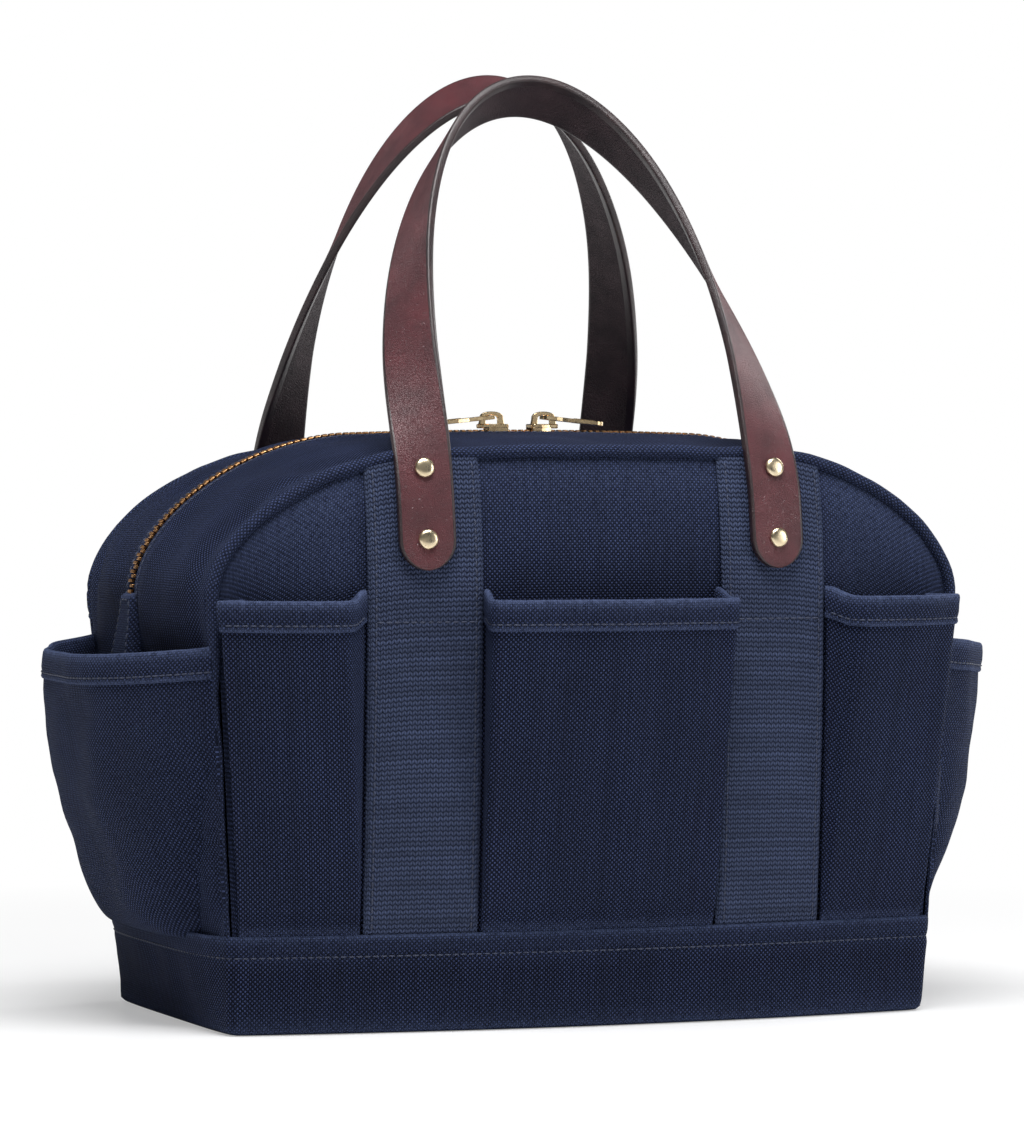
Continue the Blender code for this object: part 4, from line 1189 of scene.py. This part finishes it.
def sewn_pocket(name, rows, worn, hem_rows):
    """A pocket's cloth, and the hem that is sewn round its mouth."""
    mesh = grid_mesh(name + "_pocket_cloth", rows)
    paint_worn_rows(mesh, worn)
    pocket = finish_piece(mesh.name, mesh, [canvas], "root", [name + "_pocket"])
    thicken(pocket, POCKET_WALL)
    mesh = grid_mesh(name + "_pocket_hem", hem_rows)
    paint_worn_rows(mesh, HEM_WORN)
    finish_piece(mesh.name, mesh, [canvas], "root")
    return pocket


# %% Front and back pockets
POCKET_FOOT = BAND_HEIGHT - 3 * MM
pockets = []
for face_name, face in FACES.items():
    seam = Seam(face_name + "_pocket_stitches")
    for kind in POCKETS:
        heights = [POCKET_FOOT, BAND_HEIGHT] + spread(BAND_HEIGHT + 2 * MM, POCKET_TOP - 0.8 * MM, 44)
        rows = [pocket_row(kind, face, z, -0.1 * MM) for z in heights]
        worn = [0.25] * 3 + [0.05] * (len(rows) - 3)
        hem_rows = [pocket_row(kind, face, POCKET_TOP + z * MM, out * MM) for z, out, _ in HEM_SECTION]
        pocket = sewn_pocket(f"{face_name}_{kind}", rows, worn, hem_rows)
        line = pocket_row(kind, face, POCKET_TOP + HEM_STITCHES, HEM_STITCH_OUT)[2:-2]
        ups = []
        for index in range(len(line)):
            behind, ahead = neighbours(line, index)
            up = (ahead - behind).cross(Vector((0, 0, 1))).normalized() * face
            ups.append(-up if up.y * face < 0 and abs(up.y) >= 0.2 else up)
        seam.add(line, ups)
        pockets.append(pocket)
    seam.build()
print(len(pockets), "pockets on the two faces")

# %% [markdown]
# ## Pockets on the ends
#
# The end pockets are the slackest cloth on the bag. Each one is sewn in at the two upright corners and
# gapes wide in between, so its rim is a broad bow. Low down it stays close to the bag, and it fills out
# quickly above the band. The rim dips a little in the middle from its own weight.

# %% End pockets
END_STAND = 33 * MM
END_FOOT_STAND = 3 * MM
END_DIP = 5 * MM


def end_pocket_point(side, across, share, offset=0.0):
    """Point on an end pocket. across goes from -1 in front to 1 behind, share from 0 at the foot to 1."""

    def place(across, share):
        across = min(max(across, -1), 1)
        turn = math.sin(math.pi / 2 * across)
        pinch = mix(0.68, 1.0, ease(share * 1.1) ** 0.8)
        bow = max(1 - abs(turn / pinch) ** mix(4.0, 2.6, share), 0) ** mix(0.5, 0.9, share)
        top = END_POCKET_TOP - END_DIP * bow
        z = mix(POCKET_FOOT, top, share)
        stand = mix(END_FOOT_STAND, END_STAND, max(share, 0.0001) ** 0.24)
        edge = corner_depth(z) - 0.5 * MM
        flat = gusset_point(side * half_width(z), z, edge * turn)
        free = ease((1 - abs(across)) / 0.25) * ease(share / 0.15)
        fold = ripple((across * 0.09 + z * 0.35, z * 0.4, side), 24 * MM, 13.3) * 4.2
        fold += ripple((across * 0.09, z, side), 15 * MM, 2.8) * 1.4
        beside_seam = 1 - ease((1 - abs(across)) / 0.2)
        crease = beside_seam * math.sin(z / (9 * MM)) * 0.7 * ease(share / 0.1) * (1 - share)
        return flat + Vector((side * (2.1 * MM + stand * bow + (fold * free + crease) * MM), 0, 0))

    spot = place(across, share)
    if offset:
        step = 0.01
        wide = place(min(across + step, 1), share) - place(max(across - step, -1), share)
        tall = place(across, share + step) - place(across, share - step)
        normal = wide.cross(tall).normalized()
        if normal.x * side < 0:
            normal = -normal
        spot = spot + normal * offset
    return spot


END_RIM = END_POCKET_TOP - BAND_HEIGHT
for side_name, side in SIDES.items():
    columns = spread(-1, 1, 72)
    rows = [[end_pocket_point(side, c, share**1.6, -0.1 * MM) for c in columns] for share in spread(0, 1, 42)]
    hem_rows = []
    for z, out, _ in HEM_SECTION:
        hem_rows.append([end_pocket_point(side, c, 1 + z * MM / END_RIM, out * MM) for c in columns])
    pocket = sewn_pocket(side_name + "_end", rows, [0.1] * len(rows), hem_rows)
    stitched = spread(-0.97, 0.97, 90)
    line = [end_pocket_point(side, c, 1 + HEM_STITCHES / END_RIM, HEM_STITCH_OUT) for c in stitched]
    ups = []
    for index in range(len(line)):
        behind, ahead = neighbours(line, index)
        up = (ahead - behind).cross(Vector((0, 0, 1))).normalized()
        ups.append(up if up.x * side > 0 else -up)
    seam = Seam(side_name + "_end_pocket_stitches")
    seam.add(line, ups)
    seam.build()
    pockets.append(pocket)
print(len(pockets), "pockets in all")

# %% [markdown]
# ## Webbing
#
# Two straps of cotton webbing run up each face, from under the base band to under the top seam. They carry
# the load, so they are thick, and each is sewn on along both edges and once across at pocket height. A
# strap is a flat strip with rounded edges and a shallow groove along each row of stitches.

# %% Webbing straps
WEBBING_LIFT = 2.5 * MM
EDGE_SEAM = 3.4 * MM
EDGE_ROLL = 1.8 * MM
WEBBING_SECTION = []
for across in spread(-1, 1, 36):
    inset = (1 - abs(across)) * WEBBING_WIDTH / 2
    rounding = math.sqrt(max(1 - (1 - min(inset / (1.2 * MM), 1)) ** 2, 0))
    groove = math.exp(-(((inset - EDGE_SEAM) / (0.7 * MM)) ** 2)) * 0.35 * MM
    WEBBING_SECTION.append((across, mix(0.6 * MM, WEBBING_LIFT, rounding) - groove))


def webbing_worn(point):
    """Webbing fades along its two edges."""
    from_middle = abs(abs(point.x) - WEBBING_SPACING / 2)
    return 0.12 + 0.3 * ease((from_middle - (WEBBING_WIDTH / 2 - EDGE_ROLL)) / (1.4 * MM))


for face_name, face in FACES.items():
    seam = Seam(face_name + "_webbing_stitches")
    for side_name, side in SIDES.items():
        centre = side * WEBBING_SPACING / 2
        rows = []
        for share in spread(0, 1, 80):
            row = []
            for across, lift in WEBBING_SECTION:
                x = centre + across * WEBBING_WIDTH / 2
                z = mix(POCKET_FOOT, arch_height(x) + 0.5 * MM, share)
                tuck = ease((z - BAND_HEIGHT + 2 * MM) / (7 * MM))
                tuck *= ease((arch_height(x) + 2 * MM - z) / (6 * MM))
                wave = ripple((x, z, face * 3), 30 * MM, 6.6) * 0.25 * MM
                row.append(panel_point(x, z, mix(0.4, 1, tuck) * lift + wave * tuck, face))
            rows.append(row)
        mesh = grid_mesh(f"{face_name}_{side_name}_webbing_strap", rows)
        paint_worn(mesh, webbing_worn)
        node = f"{face_name}_{side_name}_webbing"
        finish_piece(mesh.name, mesh, [webbing_cloth], "root", [node])
        for edge in (-1, 1):
            x = centre + edge * (WEBBING_WIDTH / 2 - EDGE_SEAM)
            heights = spread(BAND_HEIGHT + 2 * MM, arch_height(x) - 4 * MM, 60)
            line = [panel_point(x, z, WEBBING_LIFT - 0.35 * MM, face) for z in heights]
            seam.add(line, [panel_normal(x, z, face) for z in heights])
        reach = WEBBING_WIDTH / 2 - EDGE_SEAM
        across = spread(centre - reach, centre + reach, 12)
        height = POCKET_TOP - 10 * MM
        line = [panel_point(x, height, WEBBING_LIFT - 0.1 * MM, face) for x in across]
        seam.add(line, [panel_normal(x, height, face) for x in across])
    seam.build()
print("webbing section has", len(WEBBING_SECTION), "points")

# %% [markdown]
# ## Leather handles
#
# A handle is one long strap. Its two round-tipped ends lie on the webbing, riveted down, and the loop
# between them rises over the mouth. Near the rivets the strap faces outward. Towards the top it twists
# until it faces up, which is how a flat strap makes a loop. The strap is swept along a path of frames: a
# middle point, the direction its grain side faces, and the direction across it. When a handle swings, the
# leather bends just above the upper rivets.

# %% The path of a handle
FOLD_HEIGHT = 251 * MM
TAB_TIP = 200 * MM
TAB_MIDDLE = 2.8 * MM + LEATHER_THICKNESS / 2
RISES = {"front": 185 * MM, "back": 181 * MM}
LEANS = {"front": math.radians(30.5), "back": math.radians(24.5)}
TWISTS = {"front": math.radians(98), "back": math.radians(93)}
TWIST_POWERS = {"front": 0.7, "back": 0.6}


def handle_frames(face_name):
    """(middle, facing, half width) of the strap from its left tip to its right tip."""
    face, lean, climb = FACES[face_name], LEANS[face_name], RISES[face_name]
    upward = Vector((0, -face * math.sin(lean), math.cos(lean)))
    facing = Vector((0, face * math.cos(lean), math.sin(lean)))
    half_span = WEBBING_SPACING / 2
    radius = HANDLE_WIDTH / 2
    tab = []
    for share in spread(0, 1, 12):
        height = radius * (1 - math.cos(math.pi / 2 * max(share, 0.06)))
        half = math.sqrt(max(radius**2 - (radius - height) ** 2, 0))
        tab.append((TAB_TIP + height, half))
    tab += [(z, radius) for z in spread(TAB_TIP + radius, FOLD_HEIGHT - 6 * MM, 9)[1:]]

    def on_webbing(x, z, half):
        return panel_point(x, z, TAB_MIDDLE, face), panel_normal(x, z, face), half

    frames = [on_webbing(-half_span, z, half) for z, half in tab]
    foot = panel_point(half_span, FOLD_HEIGHT, TAB_MIDDLE, face)
    foot.x = 0
    start = math.asin(5 * MM / climb)
    for angle in spread(math.pi - start, start, 96):
        rise = math.sin(angle)
        sideways = Vector((math.cos(angle), 0, 0))
        centre = foot + sideways * half_span + upward * climb * rise
        along = (Vector((-half_span * rise, 0, 0)) + upward * climb * math.cos(angle)).normalized()
        outward = along.cross(facing)
        if outward.dot(sideways * half_span + upward * rise) < 0:
            outward = -outward
        twist = TWISTS[face_name] * rise ** TWIST_POWERS[face_name]
        frames.append((centre, facing * math.cos(twist) + outward * math.sin(twist), radius))
    frames += [on_webbing(half_span, z, half) for z, half in reversed(tab)]
    return frames


def relaxed(frames, first, last, rounds=10):
    """The same frames with the bend between indices first and last eased, as thick leather would take it."""
    points = [frame[0].copy() for frame in frames]
    facings = [frame[1].copy() for frame in frames]
    for _ in range(rounds):
        for values in (points, facings):
            old = [value.copy() for value in values]
            for index in range(first, last):
                values[index] = old[index] * 0.5 + (old[index - 1] + old[index + 1]) * 0.25
    return [(point, facing.normalized(), frame[2]) for point, facing, frame in zip(points, facings, frames)]


# %% The strap's section
EDGE_ROUND = 1.1 * MM


def strap_section(half):
    """(across, through, material) points round the strap: grain side 0, flesh side 1, cut edge 2."""
    thick = LEATHER_THICKNESS / 2
    corner = min(EDGE_ROUND, half * 0.6)
    flat = half - corner
    turns = spread(0, math.pi / 2, 3)
    crown = 0.12 * MM
    grain = [(share * flat, thick + crown * (1 - share**2), 0) for share in spread(-1, 1, 8)]
    flesh = [(share * flat, -thick, 1) for share in spread(1, -1, 8)[1:]]
    deep = thick - corner
    edge = [(flat + math.sin(turn) * corner, deep + math.cos(turn) * corner, 2) for turn in turns[1:]]
    edge += [(flat + math.cos(turn) * corner, -deep - math.sin(turn) * corner, 2) for turn in turns]
    other_edge = [(-across, -through, kind) for across, through, kind in edge]
    return grain + edge + flesh + other_edge[:-1]


# %% Two handles
# The frames between which the strap bends from the webbing into the loop.
BEND_START, BEND_STOP = 19, 29
for face_name, face in FACES.items():
    frames = handle_frames(face_name)
    frames = relaxed(frames, BEND_START, BEND_STOP)
    frames = relaxed(frames, len(frames) - BEND_STOP, len(frames) - BEND_START)
    rows = []
    for index, (middle, facing, half) in enumerate(frames):
        behind, ahead = neighbours(frames, index)
        along = (ahead[0] - behind[0]).normalized()
        across = along.cross(facing).normalized()
        facing = across.cross(along).normalized()
        wobble = ripple(middle, 40 * MM, 3.3) * 0.25 * MM
        rows.append([middle + across * (a + wobble) + facing * t for a, t, _ in strap_section(half)])
    mesh = grid_mesh(face_name + "_leather_handle", rows, loop=True)
    kinds = [kind for _, _, kind in strap_section(HANDLE_WIDTH / 2)]
    width = len(kinds)
    for polygon in mesh.polygons:
        j = polygon.index % width
        pair = (kinds[j], kinds[(j + 1) % width])
        polygon.material_index = pair[0] if pair[0] == pair[1] else 2
    mesh.update()
    top = len(rows) // 2
    check = mesh.polygons[top * width + 3]
    if (check.center - frames[top][0]).dot(check.normal) < 0:
        mesh.flip_normals()
    handle = finish_piece(
        mesh.name, mesh, [grain_side, flesh_side, cut_edge], None,
        [face_name + "_handle", face_name + "_left_handle_tab", face_name + "_right_handle_tab"],
    )
    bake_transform(handle)
    rounding = handle.modifiers.new("rounding", "SUBSURF")
    rounding.levels = rounding.render_levels = 1
print(f"each handle has {len(rows)} frames and folds {FOLD_HEIGHT * 1000:.0f} mm above the floor")

# %% [markdown]
# ## Rivets
#
# Two domed brass rivets go through each end of a handle, the webbing and the panel. The head is turned: a
# thin rim, a smooth dome and a slightly flattened top. The burrs inside the bag keep the solid model's
# shape and only get the brass finish.


# %% Turned pieces
def turned_mesh(name, profile, centre, axis, sides=40):
    """A surface of (radius, height) points turned about an axis. The last point is on the axis."""
    turn = Vector((0, 0, 1)).rotation_difference(axis)
    rows = []
    for radius, height in profile:
        ring = []
        for step in range(sides):
            angle = math.tau * step / sides
            ring.append(centre + turn @ Vector((radius * math.cos(angle), radius * math.sin(angle), height)))
        rows.append(ring)
    return grid_mesh(name, rows, loop=True, outward_from=centre - axis * 0.02)


RIVET_RADIUS = 4.3 * MM
RIVET_HEAD = 1.9 * MM
RIVET_HEIGHTS = {"lower": 213 * MM, "upper": 243 * MM}
HEAD_SHAPE = [(0.70, -0.30), (1.0, -0.05), (1.03, 0.08), (1.0, 0.20)]
HEAD_SHAPE += [(math.cos(turn) ** 0.62, 0.2 + 0.8 * math.sin(turn)) for turn in spread(0.12, 1.5, 9)]
HEAD_SHAPE.append((0.01, 1.0))
HEAD_PROFILE = [(radius * RIVET_RADIUS, rise * RIVET_HEAD) for radius, rise in HEAD_SHAPE]
for face_name, face in FACES.items():
    for side_name, side in SIDES.items():
        for level, height in RIVET_HEIGHTS.items():
            x = side * WEBBING_SPACING / 2
            axis = panel_normal(x, height, face)
            seat = panel_point(x, height, TAB_MIDDLE + LEATHER_THICKNESS / 2 + 0.1 * MM, face)
            node = f"{face_name}_{side_name}_{level}_rivet"
            mesh = turned_mesh(node + "_head", HEAD_PROFILE, seat, axis)
            finish_piece(mesh.name, mesh, [rivet_brass], "root", [node])
            refinish(node + "_burr", rivet_brass)
print("eight rivets")

# %% [markdown]
# ## The zip
#
# The zip has two tapes and two rows of metal teeth that mesh along the middle. Every tooth is modelled,
# because the row of them is what the eye reads as a zip. The teeth of one side sit half a pitch along from
# those of the other.

# %% Tapes
TAPE_COLUMNS = (0.5, 1.2, 2.5, 4.5, 7, 10)


def zip_nodes(kind, name):
    """Solids that a zip piece stands for. The closed stretches at the ends go with the front one."""
    ends = [f"{side}_zip_end_{kind}" for side in SIDES] if name == "front" else []
    return [f"zip_{kind}_{name}"] + ends


for name, face in FACES.items():
    rows = [[gusset_point(x, z, face * y * MM, -1.0 * MM) for y in TAPE_COLUMNS] for x, z in ROOF_PATH]
    mesh = grid_mesh(name + "_zip_tape", rows)
    tape = finish_piece(mesh.name, mesh, [tape_cloth], None, zip_nodes("tape", name))
    thicken(tape, 0.7 * MM)
    bend_with_flap(tape)

# %% Teeth
TOOTH_PITCH = 3.1 * MM
TOOTH_HALF = 0.72 * MM
# Section of a tooth in mm: distance from the zip's middle line, height.
TOOTH_SECTION = (
    (3.0, -1.1), (3.0, 0.55), (2.5, 0.95), (0.2, 0.95), (-0.85, 0.45), (-0.85, -0.8), (0.2, -1.1),
)
ZIP_PATH = arch_path(ZIP_END_HEIGHT + 2 * MM, int(ARCH_LENGTH / TOOTH_PITCH * 2))


def tooth(points, faces, centre, along, up, sideways):
    first = len(points)
    for end in (-1, 1):
        for y, z in TOOTH_SECTION:
            points.append(tuple(centre + along * end * TOOTH_HALF + sideways * y * MM + up * z * MM))
    count = len(TOOTH_SECTION)
    faces.append(tuple(first + step for step in range(count)))
    faces.append(tuple(first + count + step for step in reversed(range(count))))
    for step in range(count):
        after = (step + 1) % count
        faces.append((first + step, first + count + step, first + count + after, first + after))


for name, face in FACES.items():
    points, faces = [], []
    for index in range(0 if face < 0 else 1, len(ZIP_PATH) - 1, 2):
        x, z = ZIP_PATH[index]
        parted = 1.3 * MM * ease((5 * MM - abs(x)) / (3 * MM))
        centre = gusset_point(x, z, face * (0.1 * MM + parted), TEETH_LIFT - 0.5 * MM)
        x2, z2 = ZIP_PATH[index + 1]
        along = (gusset_point(x2, z2, 0) - gusset_point(x, z, 0)).normalized()
        tooth(points, faces, centre, along, arch_normal(x, z), Vector((0, face, 0)))
    mesh = bpy.data.meshes.new(name + "_zip_teeth")
    mesh.from_pydata(points, [], faces)
    if face > 0:
        mesh.flip_normals()
    teeth = finish_piece(mesh.name, mesh, [teeth_brass], None, zip_nodes("teeth", name))
    teeth.data.shade_flat()
    bend_with_flap(teeth)
    edges = teeth.modifiers.new("worn_edges", "BEVEL")
    edges.width = 0.16 * MM
    edges.segments = 1
print(len(ZIP_PATH), "teeth in the zip")

# %% Topstitching beside the zip
for name, face in FACES.items():
    seam = Seam(name + "_zip_stitches")
    y = face * (ZIP_FOLD + 3.2 * MM)
    path = [(x, z) for x, z in ROOF_PATH if z > ZIP_END_HEIGHT - 2 * MM]
    for half in ([place for place in path if place[0] <= 0], [place for place in path if place[0] >= 0]):
        line = [gusset_point(x, z, y, roof_relief(x, z, y) + 0.1 * MM) for x, z in half]
        seam.add(line, [arch_normal(x, z) for x, z in half])
    stitches = seam.build(body=None)
    bend_with_flap(stitches)

# %% [markdown]
# ## Sliders and pulls
#
# Each slider is a small casting: a plate that is broad where the teeth part and narrow behind, with turned
# down sides and a bail on top. The pull hangs in the bail by its eye. Outlines are pushed into solids and
# their edges bevelled, as a casting's are, because only soft edges catch the light.

# %% Castings
def in_mm(outline):
    return [(x * MM, y * MM) for x, y in outline]


def mirrored(half):
    """Half of an outline, followed by the same points on the other side of its middle line."""
    return half + [(x, -y) for x, y in reversed(half)]


def casting(name, outline, lift, tall, place, bevel, body, replaced=(), hole=None):
    """A brass plate from an outline in mm, from height lift. place turns (x, y, z) into a point."""
    outline = in_mm(outline)
    bm = bmesh.new()
    low = [bm.verts.new(place(x, y, lift)) for x, y in outline]
    high = [bm.verts.new(place(x, y, lift + tall)) for x, y in outline]
    count = len(outline)
    if hole:
        hole = in_mm(hole)
        low_hole = [bm.verts.new(place(x, y, lift)) for x, y in hole]
        high_hole = [bm.verts.new(place(x, y, lift + tall)) for x, y in hole]
        for ring, inner in ((low, low_hole), (high, high_hole)):
            edges = [bm.edges.new((ring[i], ring[(i + 1) % count])) for i in range(count)]
            edges += [bm.edges.new((inner[i], inner[(i + 1) % len(hole)])) for i in range(len(hole))]
            bmesh.ops.triangle_fill(bm, edges=edges, use_beauty=True)
        for i in range(len(hole)):
            after = (i + 1) % len(hole)
            bm.faces.new((low_hole[i], high_hole[i], high_hole[after], low_hole[after]))
    else:
        bm.faces.new(low)
        bm.faces.new(high)
    for i in range(count):
        after = (i + 1) % count
        bm.faces.new((low[i], low[after], high[after], high[i]))
    bmesh.ops.recalc_face_normals(bm, faces=bm.faces)
    mesh = bpy.data.meshes.new(name)
    bm.to_mesh(mesh)
    bm.free()
    obj = finish_piece(name, mesh, [slider_brass], body, replaced)
    mesh.shade_flat()
    soft = obj.modifiers.new("soft_edges", "BEVEL")
    soft.width = bevel
    soft.segments = 3
    soft.limit_method = "ANGLE"
    soft.angle_limit = math.radians(28)


# %% Sliders
SLIDER_REST = 12.5 * MM
SEAT_LIFT = 1.3 * MM
PULL_DROOP = math.radians(6)
# Outlines of the castings are in mm.
NOSE_TURN = math.radians(60)
NOSE_TURNS = spread(NOSE_TURN, -NOSE_TURN, 6)
PULL_HALF = 3.7
PULL_TIP = 29 - PULL_HALF


def bail_rise(turn):
    """Height of a bail's arch, which is squarer than half a circle."""
    return math.sin(turn) ** 0.6


for side_name, side in SIDES.items():
    seat = gusset_point(side * SLIDER_REST, arch_height(SLIDER_REST), 0, SEAT_LIFT)
    body = side_name + "_slider"

    def on_seat(x, y, z):
        return seat + Vector((x * side, y, z))

    nose = [(3.6 + 3.4 * math.cos(turn), 2.5 * math.sin(turn) / math.sin(NOSE_TURN)) for turn in NOSE_TURNS]
    plate = nose + mirrored([(1.5, -4.1), (-2.5, -5.0), (-6.0, -5.0), (-7.0, -4.0)])
    casting(body + "_plate", plate, 0.6 * MM, 2.0 * MM, on_seat, 0.5 * MM, body, [body])
    for name, edge in FACES.items():
        outer = [(-6.6, edge * 4.9), (-2.5, edge * 5.0), (2.5, edge * 3.9)]
        inner = [(2.5, edge * 3.0), (-2.5, edge * 4.1), (-6.6, edge * 4.0)]
        casting(f"{body}_lip_{name}", outer + inner, -1.0 * MM, 2.2 * MM, on_seat, 0.25 * MM, body)

    def on_bail(x, z, y):
        return seat + Vector((x * side, y, z))

    over = [(5.6 * math.cos(turn), 4.4 + 3.9 * bail_rise(turn)) for turn in spread(math.pi, 0, 12)]
    under = [(3.0 * math.cos(turn), 4.4 + 2.3 * bail_rise(turn)) for turn in spread(0, math.pi, 12)]
    bail = over + [(6.2, 1.6), (3.0, 2.4)] + under + [(-3.0, 2.4), (-6.2, 1.6)]
    casting(body + "_bail", bail, -1.0 * MM, 2.0 * MM, on_bail, 0.3 * MM, body)

    pull_body = side_name + "_pull"
    joint = next(item for item in frame["joints"] if item["name"] == side_name + "_pull_swing")
    eye = Vector(joint["pos_m"])
    forward = Vector((side * math.cos(PULL_DROOP), 0, -math.sin(PULL_DROOP)))
    upward = Vector((side * math.sin(PULL_DROOP), 0, math.cos(PULL_DROOP)))

    def on_pull(x, y, z):
        return eye + forward * x + Vector((0, y, 0)) + upward * z

    tip = []
    for turn in spread(math.pi / 2, -math.pi / 2, 10):
        tip.append((PULL_TIP + PULL_HALF * math.cos(turn), PULL_HALF * math.sin(turn)))
    grip = tip + mirrored([(17, -3.5), (11.5, -2.5), (8.5, -2.7), (5.5, -3.7), (0.4, -3.7), (-0.7, -3.0)])
    window = mirrored([(0.7, -1.5), (6.4, -1.5)])
    casting(
        pull_body + "_grip", grip, -0.9 * MM, 1.8 * MM, on_pull, 0.35 * MM, pull_body, [pull_body], window
    )
    ridge = mirrored([(15, -2.0), (24.5, -2.2)])
    casting(pull_body + "_panel", ridge, 0.85 * MM, 0.35 * MM, on_pull, 0.3 * MM, pull_body)
print("two sliders with their pulls")

# %% [markdown]
# ## Tabs over the ends of the zip
#
# A folded scrap of canvas covers each end of the zip, so that the teeth don't scratch and the end can be
# gripped. It is narrow above and wide below, with a row of stitches just inside its edges.

# %% Zip end tabs
TAB_TOP = 189 * MM
TAB_FOOT = 152 * MM
TAB_SEAM = 2.2 * MM


def tab_half(z):
    """Half of the tab's width at height z."""
    return mix(14.5, 7.5, (z - TAB_FOOT) / (TAB_TOP - TAB_FOOT)) * MM


def tab_lift(z):
    """How far the tab stands off the end cloth at height z, in mm."""
    return mix(9.0, 3.6, ease((z - TAB_FOOT) / (TAB_TOP - TAB_FOOT)))


for side_name, side in SIDES.items():
    rows = []
    for share in spread(0, 1, 26):
        z = mix(TAB_FOOT, TAB_TOP, share)
        half = tab_half(z)
        end_round = math.sqrt(max(1 - (1 - min((1 - share) / 0.06, 1)) ** 2, 0))
        row = []
        for across in spread(-1, 1, 20):
            inset = (1 - abs(across)) * half
            rounding = math.sqrt(max(1 - (1 - min(inset / (1.1 * MM), 1)) ** 2, 0)) * end_round
            groove = 0.3 * math.exp(-(((inset - TAB_SEAM) / (0.6 * MM)) ** 2))
            lift = mix(0.8, tab_lift(z), rounding) - groove
            row.append(gusset_point(side * half_width(z), z, across * half, lift * MM))
        rows.append(row)
    mesh = grid_mesh(side_name + "_zip_tab", rows)
    paint_worn(mesh, lambda point: 0.15 + 0.5 * ease((point.z - TAB_TOP + 3 * MM) / (3 * MM)))
    finish_piece(mesh.name, mesh, [canvas], "root", [side_name + "_zip_end_tab"])
    seam = Seam(side_name + "_zip_tab_stitches")
    lines = []
    for edge in (-1, 1):
        line = []
        for z in spread(TAB_FOOT + 2 * MM, TAB_TOP - 3 * MM, 20):
            y = edge * (tab_half(z) - TAB_SEAM)
            line.append(gusset_point(side * half_width(z), z, y, (tab_lift(z) - 0.3) * MM))
        lines.append(line)
    x = side * half_width(TAB_TOP)
    lines.append([gusset_point(x, TAB_TOP - 3 * MM, y * MM, 3.3 * MM) for y in spread(-4, 4, 4)])
    for line in lines:
        seam.add(line, [Vector((side, 0, 0))] * len(line))
    seam.build()
